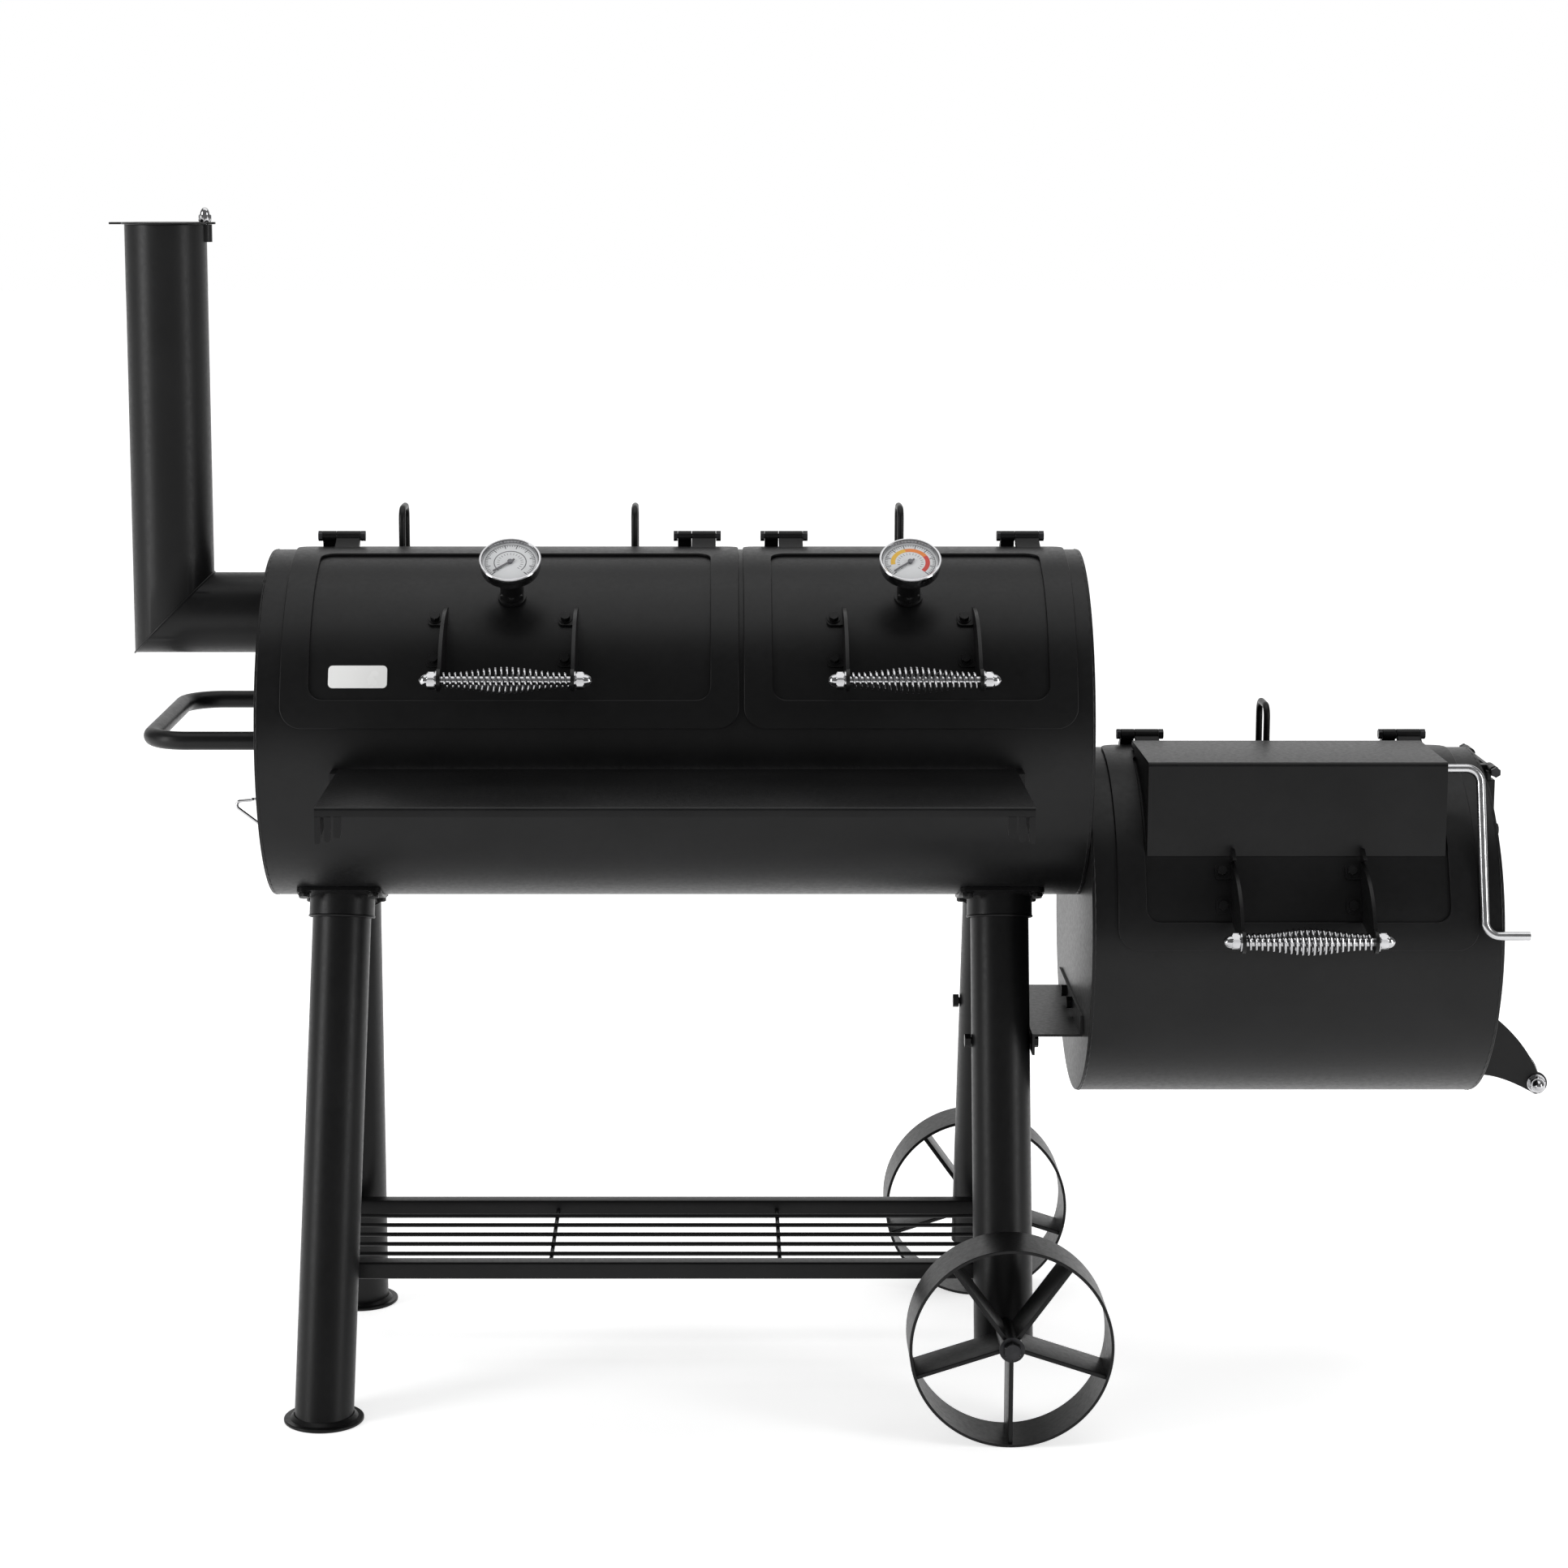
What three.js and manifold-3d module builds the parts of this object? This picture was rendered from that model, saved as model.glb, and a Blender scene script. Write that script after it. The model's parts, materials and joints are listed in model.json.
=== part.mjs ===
// Offset smoker on two legs and two wheels: a barrel cooking chamber, a lower firebox at its right
// end, a mitred smoke stack at its left end, three hinged lids, an end door and a folding shelf.
// Millimetres, +Z up, +X towards the firebox, front face towards -Y.
// The origin is the middle of the bounding box's bottom.

import * as THREE from 'three';
import { mergeVertices } from 'three/addons/utils/BufferGeometryUtils.js';
import Module from 'manifold-3d';

const wasm = await Module();
wasm.setup();

// ---- driving dimensions -------------------------------------------------------------------------

const barrelRadius = 203;        // outer radius of chamber and firebox
const sheet = 3;                 // wall of shells, caps and lids
const chamberLength = 942;
const chamberAxisZ = 780;
const fireboxLength = 465;
const fireboxDrop = 236;         // firebox axis below the chamber axis
const passageWidth = 190;        // flue hole between firebox and chamber
const passageHeight = 96;

const touchGap = 0.3;            // between pieces that touch
const lidGap = 1.5;              // cut gap round a lid panel
const bandWidth = 32;            // flat frame round each lid
const bandThickness = 3;
const lidTopAngle = 96;          // upper edge of a lid, degrees up from the front of the barrel
const bandTopWidth = 57;
const lidCorner = 24;            // corner radius of a lid frame, outside
const panelCorner = 16;          // corner radius of the opening inside a lid frame

const leftLidLength = 514;
const rightLidLength = 374;
const lidPitchGap = 5.5;         // chamber strip showing between the two lids
const leftLidMargin = 29;        // from the chamber's left end to the left lid
const chamberLidLow = 6.8;       // lower edge of the chamber lids, degrees
const fireboxLidLength = 407;
const fireboxLidLow = 1.9;

// Handle brackets: upper and lower end of their foot and the spring's axis, degrees up the barrel.
const chamberHorn = { top: 49, foot: 22, grip: 18.6 };
const fireboxHornFoot = 11;
const fireboxHornGrip = 6.8;
const hornGap = 3;               // from the firebox brackets' upper end to the hood

const hingeRise = 14;            // hinge axis above the barrel's top
const hingeBack = 26;            // hinge axis behind the barrel's centre plane
const knuckleRadius = 6;
const pinRadius = 3;
const fixedKnuckle = 16;
const movingKnuckle = 28;
const knuckleGap = 0.5;
const hingeInset = 26;           // hinge in from the end of its lid

const restRod = 4;               // radius of the lid rest loops
const restRise = 47;             // loop top above the barrel's top
const restFront = 52;            // loop's front leg behind the barrel's centre plane
const restDepth = 56;

const hornLift = 14;             // foot of the door's brackets above its lower edge
const gripSpacing = 147;         // between the two brackets of a handle
const gripStand = 70;            // spring axis out from the lid or door
const bracketPlate = 4;
const bracketTip = 13;
const barRadius = 5;
const springEnd = 10;
const springMiddle = 16.5;
const nutRadius = 10;
const nutLength = 20;

const dialRadius = 35;
const dialDepth = 16;
const dialAngle = 53;            // thermometer's lean, degrees up from the front
const dialStand = 41;            // stem length from the lid to the dial case
const stemRadius = 13;
const probeRadius = 3.5;
const probeLength = 60;

const stackRadius = 47;
const stackWall = 2.5;
const stackOut = 117;            // stack's axis beyond the chamber's left end
const stackOffset = 130;         // stack elbow above the chamber axis
const stackTopZ = 1360;
const stackCapRadius = 51;
const stackCapSheet = 2.5;
const stackPivot = 45.7;         // pivot bolt from the stack's axis

const legRadius = 34;
const legWall = 2.5;
const legFootY = 210;            // foot out from the centre plane
const leftLegInset = 80;         // leg tops in from the chamber's ends
const leftLegLean = 14;
const rightLegInset = 93;
const rightLegEndZ = 70;
const socketPlate = 98;
const socketSheet = 4;
const socketDepth = 16;
const footRadius = 46;
const footSheet = 4;

const trayZ = 430;               // bracket between the right legs and the firebox
const trayHalf = 122;
const trayFlange = 25;
const trayBoltZ = 419;
const trayBolt = 4;

const axleRadius = 8;
const wheelRadius = 115;
const rimWidth = 70;
const rimSheet = 3;
const wheelOuterY = 298;
const hubRadius = 13;
const hubLength = 62;
const spokeCount = 5;
const spokeWidth = 60;
const spokeSheet = 5;
const wheelSides = 36;

const railSize = 20;
const railZ = 151;
const railRun = 22;              // rail past the leg's centre
const rackRod = 2.5;
const rackRods = 5;
const rackCrossRods = 4;

const shelfWidth = 756;
const shelfCentreX = 3;
const shelfDepth = 236;
const shelfGap = 11;             // from the barrel's front to the shelf
const shelfTopZ = 761;
const shelfSheet = 2;
const shelfPivotInset = 8;       // pivot in from the shelf's back edge
const shelfPivotDrop = 11;
const studRadius = 4;
const studHead = 7;
const earWidth = 8;
const earHalf = 8;
const armFrontDrop = 33;
const armBackDrop = 22;
const armSheet = 3;
const armWidth = 28;

const handleRadius = 10.5;
const handleSpan = 155;          // side handle's legs out from the centre plane
const handleReach = 127;
const handleBend = 45;

const hopperHalf = 169;
const hopperSetback = 31;        // hood's front behind the barrel's front
const hopperBackY = -14;
const hopperRise = 13.5;         // hood's top above the barrel's top
const hopperSheet = 2;
const crankRadius = 5;
const crankInset = 17;           // spindle behind the hood's front
const crankDrop = 9.5;           // and below its top
const crankOut = 40;             // arm outside the hopper's end
const crankArm = 190;
const crankGrip = 50;
const flapLength = 70;

const doorMargin = 17;           // door's edge in from the barrel's
const doorLap = 21;              // door over the edge of its hole
const doorHingeX = 11;           // end door's axis outside the cap
const doorHingeDrop = 13;        // and below the barrel's top
const doorLug = 54;
const doorPin = 3;
const airHole = 46;
const airFrom = 10;              // a window's first edge, degrees up from the front
const airSpread = 70;
const damperRadius = 58;
const damperSheet = 2;
const damperRivet = 4;

const grateDrop = 20;            // cooking grate below the chamber axis
const charcoalDrop = 90;
const grateBar = 5;
const grateBars = 9;
const grateCrossBars = 2;

// ---- sizes that follow --------------------------------------------------------------------------

const chamberLeft = -chamberLength / 2;
const chamberRight = chamberLength / 2;
const fireboxLeft = chamberRight + touchGap;
const fireboxRight = fireboxLeft + fireboxLength;
const fireboxMiddle = (fireboxLeft + fireboxRight) / 2;
const fireboxAxisZ = chamberAxisZ - fireboxDrop;
const innerRadius = barrelRadius - sheet;
const bandInner = barrelRadius + touchGap;
const bandOuter = bandInner + bandThickness;
const hingeZ = barrelRadius + hingeRise;
const legAngle = Math.atan2(legFootY, chamberAxisZ);
const stackX = chamberLeft - stackOut;
const leftLegTopX = chamberLeft + leftLegInset;
const leftLegFootX = leftLegTopX - leftLegLean;
const rightLegX = chamberRight - rightLegInset;
const shelfBackY = -barrelRadius - shelfGap;
const shelfFrontY = shelfBackY - shelfDepth;
const shelfPivotY = shelfBackY - shelfPivotInset;
const hopperFrontY = hopperSetback - barrelRadius;
const hopperTop = barrelRadius + hopperRise;
const crankY = hopperFrontY + crankInset;
const crankZ = hopperTop - crankDrop;
const doorRadius = barrelRadius - doorMargin;
const doorOpening = doorRadius - doorLap;
const doorHingeZ = barrelRadius - doorHingeDrop;
const radians = Math.PI / 180;
const arcStep = 7.5;             // degrees per facet on the barrels
const bandStep = 5;              // and on what lies over them, which has to clear their corners
const boltSides = 8;             // facets round small rods
const pivotSides = 12;           // and round what turns in a hole
const roundSides = 18;           // and round tubes and dials

const arcDegrees = (length) => length / barrelRadius / radians;
const panelLow = (low) => low + arcDegrees(bandWidth / 2);
const panelHigh = lidTopAngle - arcDegrees(bandTopWidth - bandWidth / 2);

const fireboxHorn = {
  top: Math.acos(-hopperFrontY / barrelRadius) / radians - arcDegrees(hornGap),
  foot: fireboxHornFoot,
  grip: fireboxHornGrip,
};

const lids = {
  left_lid: {
    x0: chamberLeft + leftLidMargin, length: leftLidLength, axisZ: chamberAxisZ, low: chamberLidLow,
    horn: chamberHorn,
  },
  right_lid: {
    x0: chamberLeft + leftLidMargin + leftLidLength + lidPitchGap, length: rightLidLength,
    axisZ: chamberAxisZ, low: chamberLidLow, horn: chamberHorn,
  },
  firebox_lid: {
    x0: fireboxMiddle - fireboxLidLength / 2, length: fireboxLidLength, axisZ: fireboxAxisZ,
    low: fireboxLidLow, horn: fireboxHorn,
  },
};
for (const lid of Object.values(lids)) {
  lid.x1 = lid.x0 + lid.length;
  lid.middle = (lid.x0 + lid.x1) / 2;
  lid.hingeXs = [lid.x0 + hingeInset, lid.x1 - hingeInset - fixedKnuckle - knuckleGap - movingKnuckle];
}

// ---- materials ----------------------------------------------------------------------------------

const black = { color: 0x1b1b1c, roughness: 0.55, metalness: 0.35 };
const chrome = { color: 0xd9dadc, roughness: 0.18, metalness: 1 };
const steel = { color: 0xb9bbbd, roughness: 0.3, metalness: 1 };
const zinc = { color: 0x5b5c5e, roughness: 0.45, metalness: 0.8 };
const white = { color: 0xf2f2f0, roughness: 0.4, metalness: 0 };

// ---- solids -------------------------------------------------------------------------------------

/** A manifold solid from a closed three.js geometry. */
function solid(geometry, matrix = new THREE.Matrix4()) {
  const bare = geometry.index ? geometry.clone() : geometry;
  bare.deleteAttribute('normal');
  bare.deleteAttribute('uv');
  bare.applyMatrix4(matrix);
  const merged = mergeVertices(bare, 1e-3);
  return new wasm.Manifold(new wasm.Mesh({
    numProp: 3,
    vertProperties: new Float32Array(merged.attributes.position.array),
    triVerts: new Uint32Array(merged.index.array),
  }));
}

/** A three.js geometry from a manifold solid. */
function geometryOf(body) {
  const mesh = body.getMesh();
  const geometry = new THREE.BufferGeometry();
  geometry.setAttribute('position', new THREE.BufferAttribute(mesh.vertProperties, 3));
  geometry.setIndex(new THREE.BufferAttribute(mesh.triVerts, 1));
  return geometry;
}

const move = (x, y, z) => new THREE.Matrix4().makeTranslation(x, y, z);
const union = (bodies) => bodies.reduce((sum, body) => sum.add(body));

function box(x0, x1, y0, y1, z0, z1) {
  return solid(new THREE.BoxGeometry(x1 - x0, y1 - y0, z1 - z0),
    move((x0 + x1) / 2, (y0 + y1) / 2, (z0 + z1) / 2));
}

const alongX = new THREE.Matrix4().makeRotationZ(-Math.PI / 2);
const alongZ = new THREE.Matrix4().makeRotationX(Math.PI / 2);

/** A cylinder along X, Y or Z from one coordinate to another, centred on the other two. */
function rodX(x0, x1, y, z, radius, sides = boltSides) {
  const turned = move((x0 + x1) / 2, y, z).multiply(alongX);
  return solid(new THREE.CylinderGeometry(radius, radius, x1 - x0, sides), turned);
}

function rodY(y0, y1, x, z, radius, sides = boltSides) {
  return solid(new THREE.CylinderGeometry(radius, radius, y1 - y0, sides), move(x, (y0 + y1) / 2, z));
}

function rodZ(z0, z1, x, y, radius, sides = boltSides) {
  const turned = move(x, y, (z0 + z1) / 2).multiply(alongZ);
  return solid(new THREE.CylinderGeometry(radius, radius, z1 - z0, sides), turned);
}

/** A cylinder between two points. */
function rodBetween(from, to, radius, sides = boltSides) {
  const along = new THREE.Vector3().subVectors(to, from);
  const turn = new THREE.Quaternion().setFromUnitVectors(new THREE.Vector3(0, 1, 0),
    along.clone().normalize());
  const middle = new THREE.Vector3().addVectors(from, to).multiplyScalar(0.5);
  const matrix = new THREE.Matrix4().compose(middle, turn, new THREE.Vector3(1, 1, 1));
  return solid(new THREE.CylinderGeometry(radius, radius, along.length(), sides), matrix);
}

/** A path that keeps its own knots, so that a sweep puts one ring on each. */
class Route extends THREE.Curve {
  constructor(knots) {
    super();
    this.knots = knots;
  }

  getPointAt(u) {
    return this.knots[Math.round(u * (this.knots.length - 1))].clone();
  }

  getTangentAt(u) {
    const i = Math.round(u * (this.knots.length - 1));
    const here = this.knots[i];
    const before = i > 0 ? here.clone().sub(this.knots[i - 1]).normalize() : new THREE.Vector3();
    const after = i < this.knots.length - 1
      ? this.knots[i + 1].clone().sub(here).normalize() : new THREE.Vector3();
    return before.add(after).normalize();
  }
}

/** A round rod through a list of corners, each rounded by an arc of one bend radius. */
function bentRod(corners, bend, radius, sides = 8, arcs = 3) {
  const points = corners.map((c) => new THREE.Vector3(...c));
  const knots = [points[0]];
  for (let i = 1; i < points.length - 1; i += 1) {
    const back = points[i - 1].clone().sub(points[i]).normalize();
    const ahead = points[i + 1].clone().sub(points[i]).normalize();
    const half = back.angleTo(ahead) / 2;
    const centre = back.clone().add(ahead).setLength(bend / Math.sin(half)).add(points[i]);
    const out = points[i].clone().addScaledVector(back, bend / Math.tan(half)).sub(centre);
    const along = back.clone().multiplyScalar(-bend);
    for (let k = 0; k <= arcs; k += 1) {
      const turn = (Math.PI - 2 * half) * k / arcs;
      knots.push(centre.clone().addScaledVector(out, Math.cos(turn))
        .addScaledVector(along, Math.sin(turn)));
    }
  }
  knots.push(points[points.length - 1]);
  const ring = new THREE.Shape(polygon(radius, sides));
  return solid(new THREE.ExtrudeGeometry(ring, {
    extrudePath: new Route(knots), steps: knots.length - 1, bevelEnabled: false,
  }));
}

function polygon(radius, sides) {
  return Array.from({ length: sides }, (_, i) => new THREE.Vector2(
    radius * Math.cos(2 * Math.PI * i / sides), radius * Math.sin(2 * Math.PI * i / sides)));
}

/** A plate parallel to the YZ plane from an outline of [y, z] points, between two x. */
function plateX(outline, x0, x1) {
  const shape = new THREE.Shape(outline.map(([y, z]) => new THREE.Vector2(y, z)));
  const geometry = new THREE.ExtrudeGeometry(shape, { depth: x1 - x0, bevelEnabled: false });
  const turned = new THREE.Matrix4().makeBasis(new THREE.Vector3(0, 1, 0), new THREE.Vector3(0, 0, 1),
    new THREE.Vector3(1, 0, 0)).setPosition(x0, 0, 0);
  return solid(geometry, turned);
}

/** Point on a barrel: radius and degrees up from the front, as [y, z] about the barrel's axis. */
const polar = (radius, degrees) => [-radius * Math.cos(degrees * radians),
  radius * Math.sin(degrees * radians)];

function arcPoints(radius, from, to) {
  const step = radius > barrelRadius ? bandStep : arcStep;
  const count = Math.max(1, Math.ceil(Math.abs(to - from) / step));
  return Array.from({ length: count + 1 }, (_, i) => polar(radius, from + (to - from) * i / count));
}

/** A curved strip of a barrel between two radii, two angles and two x. */
function sector(inner, outer, from, to, x0, x1, axisZ) {
  const outline = [...arcPoints(outer, from, to), ...arcPoints(inner, to, from)];
  return plateX(outline.map(([y, z]) => [y, z + axisZ]), x0, x1);
}

/** A curved strip with its four corners rounded. */
function roundedSector(inner, outer, from, to, x0, x1, axisZ, corner) {
  const turn = arcDegrees(corner);
  let strip = sector(inner, outer, from, to, x0, x1, axisZ);
  for (const [edge, inward] of [[from, 1], [to, -1]]) {
    for (const [x, side] of [[x0, 1], [x1, -1]]) {
      const angle = edge + inward * turn;
      const [y, z] = polar(1, angle);
      const frame = new THREE.Matrix4().makeBasis(new THREE.Vector3(1, 0, 0),
        new THREE.Vector3(0, y, z), new THREE.Vector3(0, -z, y)).setPosition(0, 0, axisZ);
      const reach = corner + 4;
      const middle = barrelRadius;
      const low = side > 0 ? x - 4 : x - corner;
      const tangent = inward > 0 ? reach / 2 : -reach / 2;
      const block = solid(new THREE.BoxGeometry(corner + 4, 40, reach),
        frame.clone().multiply(move(low + (corner + 4) / 2, middle, tangent)));
      const round = solid(new THREE.CylinderGeometry(corner, corner, 50, 16),
        frame.clone().multiply(move(x + side * corner, middle, 0)));
      strip = strip.subtract(block.subtract(round));
    }
  }
  return strip;
}

const hexNut = (x0, x1, y, z, radius) => rodX(x0, x1, y, z, radius, 6);

/** A closed ring or sleeve along X: a lathe profile of [radius, x] points. */
function lathedX(profile, y, z, sides = 12) {
  const points = [...profile, profile[0]].map(([r, x]) => new THREE.Vector2(r, x));
  return solid(new THREE.LatheGeometry(points, sides), move(0, y, z).multiply(alongX));
}

// ---- scene graph --------------------------------------------------------------------------------

const smoker = new THREE.Group();

function node(name, body, look) {
  const mesh = new THREE.Mesh(geometryOf(body), new THREE.MeshStandardMaterial(look));
  mesh.name = name;
  smoker.add(mesh);
}

// ---- barrels ------------------------------------------------------------------------------------

const barrelSides = 360 / arcStep;
const bandSides = 360 / bandStep;
const capSides = 36;

function barrelTube(x0, x1, axisZ) {
  return rodX(x0, x1, 0, axisZ, barrelRadius, barrelSides)
    .subtract(rodX(x0 - 1, x1 + 1, 0, axisZ, innerRadius, barrelSides));
}

/** The hole that a lid's panel drops into. */
function lidCut(lid) {
  const side = bandWidth / 2 - lidGap;
  return roundedSector(innerRadius - 12, barrelRadius + 12, panelLow(lid.low) - arcDegrees(lidGap),
    panelHigh + arcDegrees(lidGap), lid.x0 + side, lid.x1 - side, lid.axisZ, panelCorner);
}

/** Fixed half of a hinge: a knuckle with a foot on the barrel behind it. */
function hingeEar(x, axisZ) {
  const z = axisZ + hingeZ;
  const foot = plateX([[hingeBack - 4, z - 3], [hingeBack + 4, z + 3], [hingeBack + 22, z - 15],
    [hingeBack + 16, z - 21], [hingeBack + 2, z - 16]], x, x + fixedKnuckle);
  const bore = rodX(x - 1, x + fixedKnuckle + 1, hingeBack, z, pinRadius + touchGap);
  return union([rodX(x, x + fixedKnuckle, hingeBack, z, knuckleRadius), foot]).subtract(bore);
}

/** Bent rod that an open lid leans on. */
function restLoop(x, axisZ) {
  const foot = axisZ + barrelRadius - 16;
  const top = axisZ + barrelRadius + restRise - restRod;
  const back = restFront + restDepth;
  return bentRod([[x, restFront, foot], [x, restFront, top], [x, back, top], [x, back, foot - 18]],
    14, restRod);
}

/** Ledge strips inside a barrel, front and back, that a grate lies on. */
function ledges(x0, x1, axisZ, drop) {
  const reach = Math.sqrt(innerRadius ** 2 - drop ** 2);
  const z = axisZ - drop;
  return [1, -1].map((side) => {
    const [a, b] = side > 0 ? [reach - 14, reach + 1] : [-reach - 1, -reach + 14];
    return box(x0, x1, a, b, z - 4, z - 1);
  });
}

const shellX0 = chamberLeft + sheet + touchGap;
const shellX1 = chamberRight - sheet - touchGap;
let chamberShell = barrelTube(shellX0, shellX1, chamberAxisZ);
for (const name of ['left_lid', 'right_lid']) chamberShell = chamberShell.subtract(lidCut(lids[name]));
chamberShell = union([chamberShell, ...ledges(shellX0, shellX1, chamberAxisZ, grateDrop)]);
for (const name of ['left_lid', 'right_lid']) {
  for (const x of lids[name].hingeXs) chamberShell = chamberShell.add(hingeEar(x, chamberAxisZ));
}
const leftRests = [lids.left_lid.middle - 140, lids.left_lid.middle + 135];
for (const x of [...leftRests, lids.right_lid.middle]) {
  chamberShell = chamberShell.add(restLoop(x, chamberAxisZ));
}

// Ears outside the ends of the folding shelf carry it on round studs.
const shelfPivotZ = shelfTopZ - shelfPivotDrop;
const shelfLeft = shelfCentreX - shelfWidth / 2;
const shelfRight = shelfCentreX + shelfWidth / 2;
const sorted = (a, b) => [Math.min(a, b), Math.max(a, b)];
for (const [x, inward] of [[shelfLeft, 1], [shelfRight, -1]]) {
  const across = (a, b) => sorted(x + inward * a, x + inward * b);
  chamberShell = union([chamberShell,
    box(...across(-1 - earWidth, -1), shelfPivotY - earHalf, -innerRadius + 6, shelfPivotZ - earHalf,
      shelfPivotZ + earHalf),
    rodX(...across(-4, armSheet + 4), shelfPivotY, shelfPivotZ, studRadius, pivotSides),
    hexNut(...across(armSheet + 1, armSheet + 5), shelfPivotY, shelfPivotZ, studHead)]);
}
node('chamber_shell', chamberShell, black);

const fireShellX0 = fireboxLeft + sheet + touchGap;
const fireShellX1 = fireboxRight - sheet - touchGap;
let fireboxShell = barrelTube(fireShellX0, fireShellX1, fireboxAxisZ).subtract(lidCut(lids.firebox_lid));
fireboxShell = union([fireboxShell, ...ledges(fireShellX0, fireShellX1, fireboxAxisZ, charcoalDrop),
  restLoop(lids.firebox_lid.middle, fireboxAxisZ)]);
for (const x of lids.firebox_lid.hingeXs) fireboxShell = fireboxShell.add(hingeEar(x, fireboxAxisZ));
node('firebox_shell', fireboxShell, black);

const passageZ = (chamberAxisZ + fireboxAxisZ) / 2;
const passage = box(chamberRight - 20, chamberRight + 20, -passageWidth / 2, passageWidth / 2,
  passageZ - passageHeight / 2, passageZ + passageHeight / 2);
const stackZ = chamberAxisZ + stackOffset;
const stackBore = stackRadius - stackWall;

const disc = (x0, x1, axisZ) => rodX(x0, x1, 0, axisZ, barrelRadius, capSides);
const wire = 1.8;
const bailY = -75;
const bailEye = { x: chamberLeft - 9, z: chamberAxisZ - 80 };
const eye = box(chamberLeft - 16, chamberLeft + 1, bailY - 3, bailY + 3, bailEye.z - 6, bailEye.z + 6)
  .subtract(rodY(bailY - 5, bailY + 5, bailEye.x, bailEye.z, wire + 0.8, pivotSides));
node('chamber_left_cap', disc(chamberLeft, chamberLeft + sheet, chamberAxisZ)
  .subtract(rodX(chamberLeft - 5, chamberLeft + 10, 0, stackZ, stackBore, roundSides)).add(eye), black);
node('chamber_right_cap',
  disc(chamberRight - sheet, chamberRight, chamberAxisZ).subtract(passage), black);
node('firebox_left_cap',
  disc(fireboxLeft, fireboxLeft + sheet, fireboxAxisZ).subtract(passage), black);

// The right cap has the end door's hole and two hinge lugs at the top.
const doorAxisX = fireboxRight + doorHingeX;
const doorAxisZ = fireboxAxisZ + doorHingeZ;
const lugWidth = 12;
let rightCap = disc(fireboxRight - sheet, fireboxRight, fireboxAxisZ)
  .subtract(rodX(fireboxRight - 10, fireboxRight + 10, 0, fireboxAxisZ, doorOpening, capSides));
for (const y of [-doorLug, doorLug]) {
  rightCap = rightCap.add(box(fireboxRight - 1, doorAxisX, y - lugWidth / 2, y + lugWidth / 2,
    doorAxisZ - 5, doorAxisZ + 5))
    .add(rodY(y - lugWidth / 2, y + lugWidth / 2, doorAxisX, doorAxisZ, 6));
}
rightCap = rightCap.subtract(rodY(-doorLug - 20, doorLug + 20, doorAxisX, doorAxisZ, doorPin + touchGap));
node('firebox_right_cap', rightCap, black);

// ---- smoke stack --------------------------------------------------------------------------------

function mitred(radius, over) {
  const sides = roundSides;
  const flat = rodX(stackX - 2 * stackRadius, chamberLeft - touchGap + over, 0, stackZ, radius, sides);
  const upright = rodZ(stackZ - 2 * stackRadius, stackTopZ + over, stackX, 0, radius, sides);
  const far = 900;
  const weld = 0.1;
  const lower = plateY([[stackX - far, stackZ - far], [stackX + far, stackZ - far],
    [stackX + far, stackZ + far]]);
  const upper = plateY([[stackX - far, stackZ - far - weld], [stackX + far, stackZ + far - weld],
    [stackX - far, stackZ + far]]);
  return flat.intersect(lower).add(upright.intersect(upper));
}

function plateY(outline) {
  const shape = new THREE.Shape(outline.map(([x, z]) => new THREE.Vector2(x, z)));
  const geometry = new THREE.ExtrudeGeometry(shape, { depth: 4 * stackRadius, bevelEnabled: false });
  const turned = new THREE.Matrix4().makeRotationX(Math.PI / 2).setPosition(0, 2 * stackRadius, 0);
  return solid(geometry, turned);
}

const pivotX = stackX + stackPivot;
const boltRadius = 4;
const stackBoss = rodZ(stackTopZ - 20, stackTopZ, pivotX, 0, 8);
node('stack_pipe', mitred(stackRadius, 0).subtract(mitred(stackBore, 2)).add(stackBoss)
  .subtract(rodZ(stackTopZ - 18, stackTopZ + 5, pivotX, 0, boltRadius + touchGap, pivotSides)), black);
const capZ0 = stackTopZ + touchGap;
const capZ1 = capZ0 + stackCapSheet;
node('stack_cap', union([rodZ(capZ0, capZ1, stackX, 0, stackCapRadius, 24),
  rodZ(capZ0, capZ1, pivotX, 0, 12, 16),
  box(stackX - stackCapRadius - 13, stackX, -8, 8, capZ0, capZ1)])
  .subtract(rodZ(capZ0 - 5, capZ1 + 5, pivotX, 0, boltRadius + touchGap, pivotSides)), black);
const nutZ = capZ1 + touchGap;
node('stack_cap_bolt', union([rodZ(stackTopZ - 17, nutZ + 6, pivotX, 0, boltRadius, pivotSides),
  rodZ(nutZ, nutZ + 9, pivotX, 0, 7.5, 6),
  solid(new THREE.SphereGeometry(6.6, 8, 4), move(pivotX, 0, nutZ + 10))]), chrome);

// ---- lids ---------------------------------------------------------------------------------------

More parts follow.
